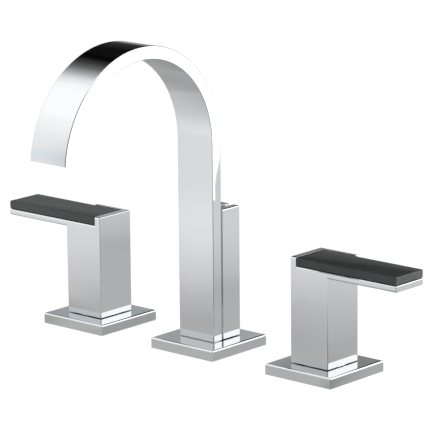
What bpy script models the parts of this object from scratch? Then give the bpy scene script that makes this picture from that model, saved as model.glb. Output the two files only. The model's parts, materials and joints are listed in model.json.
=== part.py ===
"""Widespread bathroom faucet: a flat arched spout between two lever handles.

Metres, +Z up. The countertop's upper face is z = 0 and the origin is the centre of
the spout's plate. The bather stands on the -Y side. Whatever is below z = 0 hangs
under the countertop, which the plates and the washers clamp.
"""
import math

import bmesh
import bpy
from mathutils import Matrix

# Layout
HANDLE_SPACING = 0.1016        # from the spout's centre to each handle's centre, 8 in centres
DECK_THICKNESS = 0.020         # countertop between the plates and the washers
FIT_GAP = 0.0003               # between pieces that rest on or in each other
OVERRUN = 0.002                # how far a cut runs past the faces that it opens
WELD_DISTANCE = 0.00001        # corners closer than this become one

# Square plates on the countertop
PLATE_WIDTH = 0.0556
PLATE_THICKNESS = 0.0076
PLATE_EDGE = 0.0008            # rounding of the plate's edges
PLATE_RIM = 0.0033             # rim round the gasket's recess
GASKET_THICKNESS = 0.0012

# Handle: a square column with a flat lever, and a glass plate let into its top
COLUMN_WIDTH = 0.0314
COLUMN_HEIGHT = 0.0717
COLUMN_GAP = 0.0005            # shadow line between a column and its plate
COLUMN_WALL = 0.0028
METAL_EDGE = 0.0006            # rounding of the column's and the spout's edges
LEVER_REACH = 0.0716           # from the column's centre to the lever's tip
STRIP_THICKNESS = 0.0044       # metal of the lever under the glass
END_WALL = 0.0048              # column wall that the glass ends at
BACK_WALL = 0.0027             # column wall behind the glass
GLASS_THICKNESS = 0.0056
GLASS_RECESS = 0.0003          # glass top below the column's top
GLASS_END_GAP = 0.0003         # joint between the glass and the end wall
GLASS_EDGE = 0.0005
PAD_THICKNESS = 0.0006
PAD_MARGIN = 0.0030            # from the lever's edges to the bonding pad

# Stem adapter and its screws
ADAPTER_WIDTH = 0.0144
ADAPTER_HEIGHT = 0.0140
ADAPTER_LIFT = 0.0012          # from the cartridge's neck up to the adapter
ADAPTER_WEB = 0.0020           # metal between the stem's end and the screw's head
SOCKET_LEAD = 0.0012           # round bore above the adapter's lower face
ADAPTER_SCREW_RADIUS = 0.0019
ADAPTER_SCREW_HEAD_RADIUS = 0.0035
ADAPTER_SCREW_HEAD_HEIGHT = 0.0026
ADAPTER_SCREW_LENGTH = 0.0085
SET_SCREW_RADIUS = 0.0020
SET_SCREW_RECESS = 0.0012      # set screw's end below the column's back face
SET_SCREW_KEY_RADIUS = 0.0011
SET_SCREW_KEY_DEPTH = 0.0020

# Ceramic disc cartridge
CARTRIDGE_RADIUS = 0.0100
CARTRIDGE_LENGTH = 0.0200
CARTRIDGE_WAIST_RADIUS = 0.0092    # lower part, with the outlet water round it
CARTRIDGE_NECK_RADIUS = 0.0068
CARTRIDGE_NECK_LENGTH = 0.0080
CARTRIDGE_SHOULDER = 0.0070        # full-width part under the bonnet nut
WINDOW_RADIUS = 0.0013             # outlet window in the cartridge's side
DISC_RADIUS = 0.0072
DISC_THICKNESS = 0.0030
PORT_RADIUS = 0.0019
PORT_OFFSET = 0.0038               # from the axis to each port in a disc
STEM_RADIUS = 0.0041
STEM_FLANGE_THICKNESS = 0.0030
SPLINE_DEPTH = 0.0005
SPLINE_TEETH = 12
TANG_WIDTH = 0.0020
TANG_LENGTH = 0.0100
TANG_DEPTH = 0.0012
GROOVE_DEPTH = 0.0012              # in the stem, for its ring
GROOVE_HEIGHT = 0.0015
SEAT_SEAL_THICKNESS = 0.0020
SEAT_SEAL_WALL = 0.0012
BONNET_WALL = 0.0009
BONNET_LIP = 0.0024
BONNET_SKIRT = 0.0090

# Valve body and what holds it to the countertop
SHANK_RADIUS = 0.0120
VALVE_NECK_RADIUS = 0.0112         # threaded top that the bonnet nut grips
VALVE_RISE = 0.0244                # valve body above the plate
SUPPLY_TUBE_RADIUS = 0.0050        # bore of the inner tube
SUPPLY_TUBE_WALL = 0.0016
RETURN_GAP = 0.0022                # ring-shaped way down round the inner tube
BLOCK_RADIUS = 0.0140
BLOCK_TOP_DEPTH = 0.0560           # below the countertop's upper face
BLOCK_HEIGHT = 0.0180
INLET_RADIUS = 0.0104
INLET_LENGTH = 0.0160
OUTLET_RADIUS = 0.0070
OUTLET_BORE = 0.0042
OUTLET_REACH = 0.0300              # from the valve's axis to the outlet's end
OUTLET_DEPTH = 0.0065              # outlet's axis below the block's top
PLATE_NUT_THICKNESS = 0.0025
PLATE_NUT_WALL = 0.0026
GLIDE_THICKNESS = 0.0015
WASHER_THICKNESS = 0.0020
WASHER_RADIUS = 0.0200
DECK_NUT_THICKNESS = 0.0100
DECK_NUT_FLATS = 0.0340            # across the flats

# Spout: a flat band that rises, arches over and ends above the basin
SPOUT_WIDTH = 0.0310
SPOUT_THICKNESS = 0.0087
SPOUT_BACK = -0.0035               # y of the band's back face
ARC_HEIGHT = 0.1366                # arc's centre above the band's lower end
ARC_RADIUS = 0.0745                # outer face of the arc
ARC_SWEEP = math.radians(174.0)
ARC_STEPS = 36
WATERWAY_WIDTH = 0.0186
WATERWAY_THICKNESS = 0.0041
TENON_WIDTH = 0.0290
TENON_THICKNESS = 0.0067
TENON_DEPTH = 0.0045               # tenon below the band's lower end
FORMER_LENGTH = 0.0080             # stream former in the mouth
FORMER_RECESS = 0.0006
FORMER_SLOTS = 7
FORMER_WEB = 0.0009

# Rear post and the drain's lift rod
POST_GAP = 0.0005                  # joint between the band and the post
POST_BACK = 0.0153                 # y of the post's back face
POST_HEIGHT = 0.0901
POST_WALL = 0.0024
POST_ROOF = 0.0080                 # between the post's hollow and the knob's floor
KNOB_WIDTH = 0.0128
KNOB_SLOT = 0.0036                 # open slot on each side of the knob
KNOB_HEIGHT = 0.0200
KNOB_FRONT_WALL = 0.0026           # post wall in front of the knob
KNOB_EDGE = 0.0004
ROD_RADIUS = 0.0025
ROD_IN_KNOB = 0.0120
ROD_TAIL = 0.1200                  # rod below the countertop's upper face
ROD_END_RADIUS = 0.0038
ROD_END_HEIGHT = 0.0060
BUSH_WALL = 0.0012
BUSH_FLANGE = 0.0008

# Foot under the spout's plate, its screws, shank and tee
FOOT_WIDTH = 0.0380
FOOT_MARGIN = 0.0004               # of the foot beyond its boss, at the front
FOOT_THICKNESS = 0.0042
FOOT_BOSS_RADIUS = 0.0093
FOOT_BOSS_LENGTH = 0.0120
FOOT_SOCKET = 0.0022               # depth of the tenon's socket
SPOUT_SEAL_THICKNESS = 0.0008
SPOUT_SEAL_WALL = 0.0010
FOOT_SCREW_RADIUS = 0.0014
FOOT_SCREW_HEAD_RADIUS = 0.0025
FOOT_SCREW_HEAD_HEIGHT = 0.0015
SPOUT_SCREW_LENGTH = 0.0100
SPOUT_SCREW_OFFSET = 0.0123        # from the centre plane
POST_SCREW_LENGTH = 0.0180
POST_SCREW_OFFSET = 0.0092
POST_BOSS_RADIUS = 0.0033
SPOUT_SHANK_RADIUS = 0.0080
SPOUT_SHANK_BORE = 0.0055
SPOUT_SHANK_LENGTH = 0.0730
SPOUT_WASHER_RADIUS = 0.0220
SPOUT_NUT_THICKNESS = 0.0090
SPOUT_NUT_FLATS = 0.0240
TEE_RADIUS = 0.0105
TEE_GRIP = 0.0120                  # length of shank inside the tee
TEE_LENGTH = 0.0280
TEE_ARM_REACH = 0.0220
TEE_SEAL_THICKNESS = 0.0014

# Facets
ROUND_STEPS = 24
SMALL_STEPS = 12
RING_STEPS = 18
RING_SIDES = 6

# Heights that several pieces share
plate_top = PLATE_THICKNESS
gasket_roof = GASKET_THICKNESS + FIT_GAP
column_bottom = plate_top + COLUMN_GAP
column_top = column_bottom + COLUMN_HEIGHT
glass_top = column_top - GLASS_RECESS
glass_bottom = glass_top - GLASS_THICKNESS
pocket_floor = glass_bottom - FIT_GAP
lever_bottom = pocket_floor - STRIP_THICKNESS
glide_top = column_bottom - FIT_GAP
glide_bottom = glide_top - GLIDE_THICKNESS
plate_nut_top = glide_bottom - FIT_GAP
plate_nut_bottom = plate_nut_top - PLATE_NUT_THICKNESS
washer_top = -DECK_THICKNESS
washer_bottom = washer_top - WASHER_THICKNESS
valve_top = plate_top + VALVE_RISE
cartridge_top = valve_top + FIT_GAP
cartridge_bottom = cartridge_top - CARTRIDGE_LENGTH
neck_top = cartridge_top + CARTRIDGE_NECK_LENGTH
seal_top = cartridge_bottom - FIT_GAP
seal_bottom = seal_top - SEAT_SEAL_THICKNESS
seat = seal_bottom - FIT_GAP
lower_disc_bottom = cartridge_bottom + FIT_GAP
lower_disc_top = lower_disc_bottom + DISC_THICKNESS
upper_disc_bottom = lower_disc_top + FIT_GAP
upper_disc_top = upper_disc_bottom + DISC_THICKNESS
flange_bottom = upper_disc_top + FIT_GAP
flange_top = flange_bottom + STEM_FLANGE_THICKNESS
chamber_roof = flange_top + FIT_GAP
bonnet_bottom = cartridge_top + FIT_GAP - BONNET_SKIRT
bonnet_top = cartridge_top + FIT_GAP + BONNET_LIP
adapter_bottom = neck_top + ADAPTER_LIFT
adapter_top = adapter_bottom + ADAPTER_HEIGHT
adapter_middle = (adapter_bottom + adapter_top) / 2
screw_head_bottom = adapter_top - ADAPTER_SCREW_HEAD_HEIGHT
stem_top = screw_head_bottom - FIT_GAP - ADAPTER_WEB - FIT_GAP
block_top = -BLOCK_TOP_DEPTH
block_bottom = block_top - BLOCK_HEIGHT
inlet_bottom = block_bottom - INLET_LENGTH
outlet_z = block_top - OUTLET_DEPTH

# Widths and radii that several pieces share
column_half = COLUMN_WIDTH / 2
column_bore = column_half - COLUMN_WALL
lever_back = column_half - BACK_WALL - FIT_GAP
glass_start = END_WALL + GLASS_END_GAP - column_half
gasket_width = PLATE_WIDTH - 2 * (PLATE_RIM + FIT_GAP)
cartridge_bore = CARTRIDGE_RADIUS + FIT_GAP
chamber_radius = DISC_RADIUS + FIT_GAP
stem_bore = STEM_RADIUS + FIT_GAP
supply_wall_radius = SUPPLY_TUBE_RADIUS + SUPPLY_TUBE_WALL
return_radius = supply_wall_radius + RETURN_GAP
plate_nut_radius = SHANK_RADIUS + FIT_GAP + PLATE_NUT_WALL
nut_pocket_radius = plate_nut_radius + FIT_GAP
bonnet_radius = VALVE_NECK_RADIUS + FIT_GAP + BONNET_WALL

# The spout unit
band_middle = SPOUT_BACK - SPOUT_THICKNESS / 2
arc_y = SPOUT_BACK - ARC_RADIUS
arc_z = column_bottom + ARC_HEIGHT
arc_middle_radius = ARC_RADIUS - SPOUT_THICKNESS / 2
post_front = SPOUT_BACK + POST_GAP
post_middle = (post_front + POST_BACK) / 2
post_top = column_bottom + POST_HEIGHT
knob_bottom = post_top - KNOB_HEIGHT
knob_floor = knob_bottom - FIT_GAP
knob_front = post_front + KNOB_FRONT_WALL + FIT_GAP
rod_y = (knob_front + POST_BACK) / 2
hollow_roof = knob_floor - POST_ROOF
foot_half_depth = FOOT_BOSS_RADIUS + FOOT_MARGIN - band_middle
foot_top = FIT_GAP + FOOT_THICKNESS
foot_pocket_roof = foot_top + FIT_GAP
socket_floor = foot_top - FOOT_SOCKET
tenon_bottom = column_bottom - TENON_DEPTH
spout_seal_bottom = tenon_bottom - FIT_GAP - SPOUT_SEAL_THICKNESS
shank_top = -FIT_GAP
shank_bottom = shank_top - SPOUT_SHANK_LENGTH
tee_top = shank_bottom + TEE_GRIP
tee_step = shank_bottom - 2 * FIT_GAP - TEE_SEAL_THICKNESS
tee_bottom = tee_top - TEE_LENGTH
tee_arm_z = (tee_step + tee_bottom) / 2


def clear_scene():
    for obj in list(bpy.data.objects):
        bpy.data.objects.remove(obj, do_unlink=True)
    for group in list(bpy.data.collections):
        bpy.data.collections.remove(group)


def new_collection(name):
    group = bpy.data.collections.new(name)
    bpy.context.scene.collection.children.link(group)
    return group


clear_scene()
parts = new_collection("widespread_faucet")
cutters = new_collection("cutters")


# Materials: colour, roughness and metallic value
FINISHES = {
    "chrome": ((0.78, 0.79, 0.80), 0.06, 1.0),
    "charcoal_glass": ((0.045, 0.048, 0.050), 0.05, 0.0),
    "foam_tape": ((0.04, 0.04, 0.04), 0.9, 0.0),
    "brass": ((0.72, 0.55, 0.26), 0.28, 1.0),
    "steel": ((0.56, 0.57, 0.58), 0.3, 1.0),
    "rubber": ((0.03, 0.03, 0.03), 0.8, 0.0),
    "nylon": ((0.86, 0.85, 0.80), 0.45, 0.0),
    "ceramic": ((0.88, 0.87, 0.83), 0.2, 0.0),
}


def finish(obj, name):
    """Give the object a material of its own with the named finish."""
    color, roughness, metallic = FINISHES[name]
    material = bpy.data.materials.new(f"{obj.name}_{name}")
    material.use_nodes = True
    shader = material.node_tree.nodes["Principled BSDF"]
    shader.inputs["Base Color"].default_value = (*color, 1.0)
    shader.inputs["Roughness"].default_value = roughness
    shader.inputs["Metallic"].default_value = metallic
    obj.data.materials.clear()
    obj.data.materials.append(material)


def empty(name, x, y):
    """An empty on a vertical axis, at the height of the countertop."""
    obj = bpy.data.objects.new(name, None)
    obj.empty_display_size = PLATE_WIDTH
    obj.location = (x, y, 0.0)
    parts.objects.link(obj)
    return obj


def add(name, mesh, unit, finish_name):
    """Link a mesh as a sub-part under its unit's empty, or as a cutter where no finish is named."""
    obj = bpy.data.objects.new(name, mesh)
    obj.parent = unit
    if finish_name:
        parts.objects.link(obj)
        finish(obj, finish_name)
    else:
        cutters.objects.link(obj)
        obj.hide_render = True
        obj.display_type = "WIRE"
    return obj


def box(name, unit, low, high, finish_name=None, edge=0.0):
    """A box between two corners, with its edges rounded if edge is given."""
    size = [h - l for l, h in zip(low, high)]
    middle = [(l + h) / 2 for l, h in zip(low, high)]
    mesh = bpy.data.meshes.new(name)
    bm = bmesh.new()
    place = Matrix.Translation(middle) @ Matrix.Diagonal((*size, 1.0))
    bmesh.ops.create_cube(bm, size=1.0, matrix=place)
    if edge:
        bmesh.ops.bevel(bm, geom=bm.edges[:], offset=edge, segments=2, profile=0.5, affect="EDGES")
    bm.to_mesh(mesh)
    bm.free()
    return add(name, mesh, unit, finish_name)


def cylinder(name, unit, radius, low, high, finish_name=None, steps=ROUND_STEPS, axis="Z", at=(0.0, 0.0)):
    """A round bar from low to high along an axis. at is its place on the other two axes, in order."""
    turn = {"Z": Matrix.Identity(4),
            "Y": Matrix.Rotation(math.radians(-90.0), 4, "X"),
            "X": Matrix.Rotation(math.radians(90.0), 4, "Y")}[axis]
    middle = list(at)
    middle.insert("XYZ".index(axis), (low + high) / 2)
    mesh = bpy.data.meshes.new(name)
    bm = bmesh.new()
    bmesh.ops.create_cone(bm, cap_ends=True, segments=steps, radius1=radius, radius2=radius,
                          depth=high - low, matrix=Matrix.Translation(middle) @ turn)
    bm.to_mesh(mesh)
    bm.free()
    mesh.shade_smooth()
    mesh.set_sharp_from_angle(angle=math.radians(30.0))
    return add(name, mesh, unit, finish_name)


def turned(name, unit, profile, finish_name=None, steps=ROUND_STEPS, closed=True, at=(0.0, 0.0)):
    """A turned shape. The profile of (radius, z) runs down its outer side and back up its inner side.

    A profile that is not closed starts and ends on the axis.
    """
    mesh = bpy.data.meshes.new(name)
    bm = bmesh.new()
    corners = [bm.verts.new((radius, 0.0, z)) for radius, z in profile]
    for first, second in zip(corners, corners[1:]):
        bm.edges.new((first, second))
    if closed:
        bm.edges.new((corners[-1], corners[0]))
    bm.to_mesh(mesh)
    bm.free()
    obj = add(name, mesh, unit, finish_name)
    obj.location = (*at, 0.0)
    screw = obj.modifiers.new("turn", "SCREW")
    screw.steps = steps
    screw.render_steps = steps
    screw.use_merge_vertices = True
    screw.merge_threshold = WELD_DISTANCE
    return obj


def ring(name, unit, inner, outer, low, high, finish_name=None, steps=ROUND_STEPS, at=(0.0, 0.0)):
    """A flat ring or a tube."""
    profile = [(outer, high), (outer, low), (inner, low), (inner, high)]
    return turned(name, unit, profile, finish_name, steps, at=at)


def o_ring(name, unit, middle_radius, cord_radius, z, finish_name, at=(0.0, 0.0)):
    profile = []
    for index in range(RING_SIDES):
        angle = -2.0 * math.pi * index / RING_SIDES
        profile.append((middle_radius + cord_radius * math.cos(angle), z + cord_radius * math.sin(angle)))
    return turned(name, unit, profile, finish_name, RING_STEPS, at=at)


def flat_shape(name, outline, thickness, edge=0.0):
    """Mesh of a flat outline in the XY plane, half its thickness above it and half below, edges rounded."""
    curve = bpy.data.curves.new(name, "CURVE")
    curve.dimensions = "2D"
    curve.fill_mode = "BOTH"
    curve.extrude = thickness / 2 - edge
    curve.bevel_depth = edge
    curve.bevel_resolution = 1
    curve.offset = -edge
    line = curve.splines.new("POLY")
    line.points.add(len(outline) - 1)
    for point, (x, y) in zip(line.points, outline):
        point.co = (x, y, 0.0, 1.0)
    line.use_cyclic_u = True
    guide = bpy.data.objects.new(f"{name}_outline", curve)
    parts.objects.link(guide)
    bpy.context.view_layer.update()
    shape = guide.evaluated_get(bpy.context.evaluated_depsgraph_get())
    mesh = bpy.data.meshes.new_from_object(shape)
    bpy.data.objects.remove(guide, do_unlink=True)
    bm = bmesh.new()
    bm.from_mesh(mesh)
    bmesh.ops.remove_doubles(bm, verts=bm.verts[:], dist=WELD_DISTANCE)
    bmesh.ops.recalc_face_normals(bm, faces=bm.faces[:])
    bm.to_mesh(mesh)
    bm.free()
    return mesh


def prism(name, unit, outline, low, high, finish_name=None, at=(0.0, 0.0)):
    """An upright bar with the given outline of (x, y) points."""
    mesh = flat_shape(name, outline, high - low)
    mesh.transform(Matrix.Translation((*at, (low + high) / 2)))
    return add(name, mesh, unit, finish_name)


def band(name, unit, outline, width, finish_name=None, edge=0.0):
    """A side view of (y, z) points, given a width along X."""
    mesh = flat_shape(name, outline, width, edge)
    quarter = math.pi / 2
    mesh.transform(Matrix.Rotation(quarter, 4, "Z") @ Matrix.Rotation(quarter, 4, "X"))
    return add(name, mesh, unit, finish_name)


def polygon(radii):
    """Outline with its corners at the given radii, evenly spaced round a circle."""
    step = 2.0 * math.pi / len(radii)
    return [(radius * math.cos(step * index), radius * math.sin(step * index))
            for index, radius in enumerate(radii)]


def hexagon(flats):
    return polygon([flats / 2 / math.cos(math.pi / 6)] * 6)


def spline(outer):
    """Outline of a toothed bar or of the bore that it fits."""
    return polygon([outer, outer - SPLINE_DEPTH] * SPLINE_TEETH)


def cut(obj, *tools):
    for tool in tools:
        step = obj.modifiers.new(f"cut {tool.name}", "BOOLEAN")
        step.operation = "DIFFERENCE"
        step.solver = "EXACT"
        step.object = tool


def join(obj, *tools):
    for tool in tools:
        step = obj.modifiers.new(f"join {tool.name}", "BOOLEAN")
        step.operation = "UNION"
        step.solver = "EXACT"
        step.object = tool


def across(side, near, far):
    """Two x values, low first, of a stretch that one unit has on one side and its mirror on the other."""
    return sorted((side * near, side * far))


def make_handle(tag, side, pivot):
    """Column and lever in one piece. The lever points away from the spout."""
    name = f"{tag}_handle"
    handle = box(name, pivot, (-column_half, -column_half, column_bottom),
                 (column_half, column_half, column_top), "chrome", METAL_EDGE)
    x0, x1 = across(side, 0.0, LEVER_REACH)
    lever = box(f"{name}_lever", pivot, (x0, -column_half, lever_bottom),
                (x1, lever_back, column_top), edge=METAL_EDGE)
    x0, x1 = across(side, glass_start - GLASS_END_GAP, LEVER_REACH + OVERRUN)
    pocket = box(f"{name}_pocket", pivot, (x0, -column_half - OVERRUN, pocket_floor),
                 (x1, lever_back + FIT_GAP, column_top + OVERRUN))
    pad_floor = pocket_floor - PAD_THICKNESS - FIT_GAP
    x0, x1 = across(side, glass_start + PAD_MARGIN - FIT_GAP, LEVER_REACH - PAD_MARGIN + FIT_GAP)
    pad_bed = box(f"{name}_pad_bed", pivot, (x0, PAD_MARGIN - FIT_GAP - column_half, pad_floor),
                  (x1, lever_back - PAD_MARGIN + FIT_GAP, pocket_floor + OVERRUN))
    bore = cylinder(f"{name}_bore", pivot, column_bore, column_bottom - OVERRUN, adapter_bottom + SOCKET_LEAD)
    half = ADAPTER_WIDTH / 2 + FIT_GAP
    socket = box(f"{name}_socket", pivot, (-half, -half, adapter_bottom), (half, half, adapter_top + FIT_GAP))
    screw_hole = cylinder(f"{name}_screw_hole", pivot, SET_SCREW_RADIUS + FIT_GAP, 0.0, column_half + OVERRUN,
                          steps=SMALL_STEPS, axis="Y", at=(0.0, adapter_middle))
    join(handle, lever)
    cut(handle, pocket, pad_bed, bore, socket, screw_hole)


def make_glass(tag, side, pivot):
    x0, x1 = across(side, glass_start, LEVER_REACH)
    box(f"{tag}_glass_insert", pivot, (x0, -column_half, glass_bottom), (x1, lever_back, glass_top),
        "charcoal_glass", GLASS_EDGE)
    x0, x1 = across(side, glass_start + PAD_MARGIN, LEVER_REACH - PAD_MARGIN)
    box(f"{tag}_insert_pad", pivot, (x0, PAD_MARGIN - column_half, pocket_floor - PAD_THICKNESS),
        (x1, lever_back - PAD_MARGIN, pocket_floor), "foam_tape")


def make_adapter(tag, pivot):
    """Block between the stem's spline and the handle, with its two screws."""
    half = ADAPTER_WIDTH / 2
    adapter = box(f"{tag}_stem_adapter", pivot, (-half, -half, adapter_bottom),
                  (half, half, adapter_top), "brass")
    spline_bore = prism(f"{tag}_spline_bore", pivot, spline(STEM_RADIUS + FIT_GAP),
                        adapter_bottom - OVERRUN, stem_top + FIT_GAP)
    screw_way = cylinder(f"{tag}_screw_way", pivot, ADAPTER_SCREW_RADIUS + FIT_GAP, adapter_bottom,
                         adapter_top + OVERRUN, steps=SMALL_STEPS)
    head_way = cylinder(f"{tag}_head_way", pivot, ADAPTER_SCREW_HEAD_RADIUS + FIT_GAP,
                        screw_head_bottom - FIT_GAP, adapter_top + OVERRUN, steps=SMALL_STEPS)
    cut(adapter, spline_bore, screw_way, head_way)

    screw_bottom = screw_head_bottom - ADAPTER_SCREW_LENGTH
    profile = [(0.0, adapter_top), (ADAPTER_SCREW_HEAD_RADIUS, adapter_top),
               (ADAPTER_SCREW_HEAD_RADIUS, screw_head_bottom), (ADAPTER_SCREW_RADIUS, screw_head_bottom),
               (ADAPTER_SCREW_RADIUS, screw_bottom), (0.0, screw_bottom)]
    screw = turned(f"{tag}_adapter_screw", pivot, profile, "steel", SMALL_STEPS, closed=False)
    key_depth = ADAPTER_SCREW_HEAD_HEIGHT / 2
    key = prism(f"{tag}_adapter_screw_key", pivot, hexagon(ADAPTER_SCREW_HEAD_RADIUS),
                adapter_top - key_depth, adapter_top + OVERRUN)
    cut(screw, key)

    far_end = column_half - SET_SCREW_RECESS
    set_screw = cylinder(f"{tag}_set_screw", pivot, SET_SCREW_RADIUS, half + FIT_GAP, far_end, "steel",
                         SMALL_STEPS, "Y", (0.0, adapter_middle))
    set_key = cylinder(f"{tag}_set_screw_key", pivot, SET_SCREW_KEY_RADIUS, far_end - SET_SCREW_KEY_DEPTH,
                       far_end + OVERRUN, steps=6, axis="Y", at=(0.0, adapter_middle))
    cut(set_screw, set_key)


def make_stem(tag, pivot):
    """Spindle with a flange that turns the upper disc, and its ring."""
    groove_middle = cartridge_top + CARTRIDGE_NECK_LENGTH / 2
    groove_top = groove_middle + GROOVE_HEIGHT / 2
    groove_bottom = groove_middle - GROOVE_HEIGHT / 2
    groove_radius = STEM_RADIUS - GROOVE_DEPTH
    round_radius = STEM_RADIUS - SPLINE_DEPTH
    profile = [(0.0, stem_top), (round_radius, stem_top), (round_radius, neck_top), (STEM_RADIUS, neck_top),
               (STEM_RADIUS, groove_top), (groove_radius, groove_top), (groove_radius, groove_bottom),
               (STEM_RADIUS, groove_bottom), (STEM_RADIUS, flange_top), (DISC_RADIUS, flange_top),
               (DISC_RADIUS, flange_bottom), (0.0, flange_bottom)]
    stem = turned(f"{tag}_stem", pivot, profile, "brass", RING_STEPS, closed=False)
    teeth = prism(f"{tag}_stem_teeth", pivot, spline(STEM_RADIUS), neck_top - SPLINE_DEPTH, stem_top)
    tang = box(f"{tag}_stem_tang", pivot, (-TANG_LENGTH / 2, -TANG_WIDTH / 2, flange_bottom - TANG_DEPTH),
               (TANG_LENGTH / 2, TANG_WIDTH / 2, flange_bottom + TANG_DEPTH))
    hole_bottom = screw_head_bottom - ADAPTER_SCREW_LENGTH - 2 * FIT_GAP
    hole = cylinder(f"{tag}_stem_hole", pivot, ADAPTER_SCREW_RADIUS + FIT_GAP, hole_bottom,
                    stem_top + OVERRUN, steps=SMALL_STEPS)
    join(stem, teeth, tang)
    cut(stem, hole)
    inner = groove_radius + FIT_GAP
    o_ring(f"{tag}_stem_ring", pivot, (inner + STEM_RADIUS) / 2, (STEM_RADIUS - inner) / 2,
           groove_middle, "rubber")


def make_discs(tag, pivot, unit):
    """Two ceramic discs. The upper one turns with the stem."""
    upper = cylinder(f"{tag}_upper_disc", pivot, DISC_RADIUS, upper_disc_bottom, upper_disc_top, "ceramic")
    length = TANG_LENGTH / 2 + FIT_GAP
    width = TANG_WIDTH / 2 + FIT_GAP
    slot = box(f"{tag}_upper_disc_slot", pivot, (-length, -width, flange_bottom - TANG_DEPTH - FIT_GAP),
               (length, width, upper_disc_top + OVERRUN))
    cut(upper, slot)
    lower = cylinder(f"{tag}_lower_disc", unit, DISC_RADIUS, lower_disc_bottom, lower_disc_top, "ceramic")
    for label, disc, parent, low, high, turn in (
            ("upper", upper, pivot, upper_disc_bottom, upper_disc_top, 0.0),
            ("lower", lower, unit, lower_disc_bottom, lower_disc_top, math.pi / 2)):
        for index in range(2):
            angle = math.pi / 2 + turn + math.pi * index
            place = (PORT_OFFSET * math.cos(angle), PORT_OFFSET * math.sin(angle))
            port = cylinder(f"{tag}_{label}_port_{index + 1}", parent, PORT_RADIUS, low - OVERRUN,
                            high + OVERRUN, steps=SMALL_STEPS, at=place)
            cut(disc, port)


def make_cartridge(tag, unit):
    """Cartridge housing, the seal under it and the nut that holds it down."""
    shoulder = cartridge_top - CARTRIDGE_SHOULDER
    profile = [(CARTRIDGE_NECK_RADIUS, neck_top), (CARTRIDGE_NECK_RADIUS, cartridge_top),
               (CARTRIDGE_RADIUS, cartridge_top), (CARTRIDGE_RADIUS, shoulder),
               (CARTRIDGE_WAIST_RADIUS, shoulder), (CARTRIDGE_WAIST_RADIUS, cartridge_bottom),
               (chamber_radius, cartridge_bottom), (chamber_radius, chamber_roof),
               (stem_bore, chamber_roof), (stem_bore, neck_top)]
    housing = turned(f"{tag}_cartridge", unit, profile, "brass")
    window_z = (flange_bottom + flange_top) / 2
    window = cylinder(f"{tag}_cartridge_window", unit, WINDOW_RADIUS, -CARTRIDGE_RADIUS - OVERRUN,
                      CARTRIDGE_RADIUS + OVERRUN, steps=SMALL_STEPS, axis="Y", at=(0.0, window_z))
    cut(housing, window)
    seal_inner = SUPPLY_TUBE_RADIUS + FIT_GAP
    ring(f"{tag}_seat_seal", unit, seal_inner, seal_inner + SEAT_SEAL_WALL, seal_bottom, seal_top, "rubber",
         RING_STEPS)
    lip_bottom = cartridge_top + FIT_GAP
    inner = VALVE_NECK_RADIUS + FIT_GAP
    lip_radius = CARTRIDGE_NECK_RADIUS + FIT_GAP
    nut_profile = [(bonnet_radius, bonnet_top), (bonnet_radius, bonnet_bottom), (inner, bonnet_bottom),
                   (inner, lip_bottom), (lip_radius, lip_bottom), (lip_radius, bonnet_top)]
    turned(f"{tag}_bonnet_nut", unit, nut_profile, "brass")


def make_valve_body(tag, side, unit):
    """Shank with a supply tube inside, a ring-shaped return way round it, an inlet and a side outlet."""
    neck_bottom = bonnet_bottom - FIT_GAP
    return_floor = outlet_z - OUTLET_BORE
    profile = [(VALVE_NECK_RADIUS, valve_top), (VALVE_NECK_RADIUS, neck_bottom), (SHANK_RADIUS, neck_bottom),
               (SHANK_RADIUS, block_top), (BLOCK_RADIUS, block_top), (BLOCK_RADIUS, block_bottom),
               (INLET_RADIUS, block_bottom), (INLET_RADIUS, inlet_bottom), (SUPPLY_TUBE_RADIUS, inlet_bottom),
               (SUPPLY_TUBE_RADIUS, seat), (supply_wall_radius, seat), (supply_wall_radius, return_floor),
               (return_radius, return_floor), (return_radius, seat), (cartridge_bore, seat),
               (cartridge_bore, valve_top)]
    body = turned(f"{tag}_valve_body", unit, profile, "brass")
    place = (0.0, outlet_z)
    x0, x1 = across(-side, return_radius + FIT_GAP, OUTLET_REACH)
    nipple = cylinder(f"{tag}_outlet", unit, OUTLET_RADIUS, x0, x1, steps=RING_STEPS, axis="X", at=place)
    x0, x1 = across(-side, supply_wall_radius + RETURN_GAP / 2, OUTLET_REACH + OVERRUN)
    way = cylinder(f"{tag}_outlet_bore", unit, OUTLET_BORE, x0, x1, steps=SMALL_STEPS, axis="X", at=place)
    join(body, nipple)
    cut(body, way)


def make_valve_fixings(tag, unit):
    """What clamps the plate and the valve to the countertop, and the ring that the column glides on."""
    inner = SHANK_RADIUS + FIT_GAP
    ring(f"{tag}_plate_nut", unit, inner, plate_nut_radius, plate_nut_bottom, plate_nut_top, "brass")
    ring(f"{tag}_glide_ring", unit, inner, plate_nut_radius, glide_bottom, glide_top, "nylon")
    ring(f"{tag}_deck_washer", unit, inner, WASHER_RADIUS, washer_bottom, washer_top, "rubber")
    nut_top = washer_bottom - FIT_GAP
    nut_bottom = nut_top - DECK_NUT_THICKNESS
    nut = prism(f"{tag}_deck_nut", unit, hexagon(DECK_NUT_FLATS), nut_bottom, nut_top, "brass")
    thread = cylinder(f"{tag}_deck_nut_bore", unit, inner, nut_bottom - OVERRUN, nut_top + OVERRUN)
    cut(nut, thread)


def make_plate(tag, unit, openings):
    """Square plate with a gasket let into its underside. The openings are cut through both."""
    half = PLATE_WIDTH / 2
    plate = box(f"{tag}_plate", unit, (-half, -half, 0.0), (half, half, plate_top), "chrome", PLATE_EDGE)
    inner = half - PLATE_RIM
    recess = box(f"{tag}_plate_recess", unit, (-inner, -inner, -OVERRUN), (inner, inner, gasket_roof))
    half_gasket = gasket_width / 2
    gasket = box(f"{tag}_gasket", unit, (-half_gasket, -half_gasket, 0.0),
                 (half_gasket, half_gasket, GASKET_THICKNESS), "rubber")
    cut(plate, recess, *openings)
    cut(gasket, *openings)
    return plate


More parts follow.
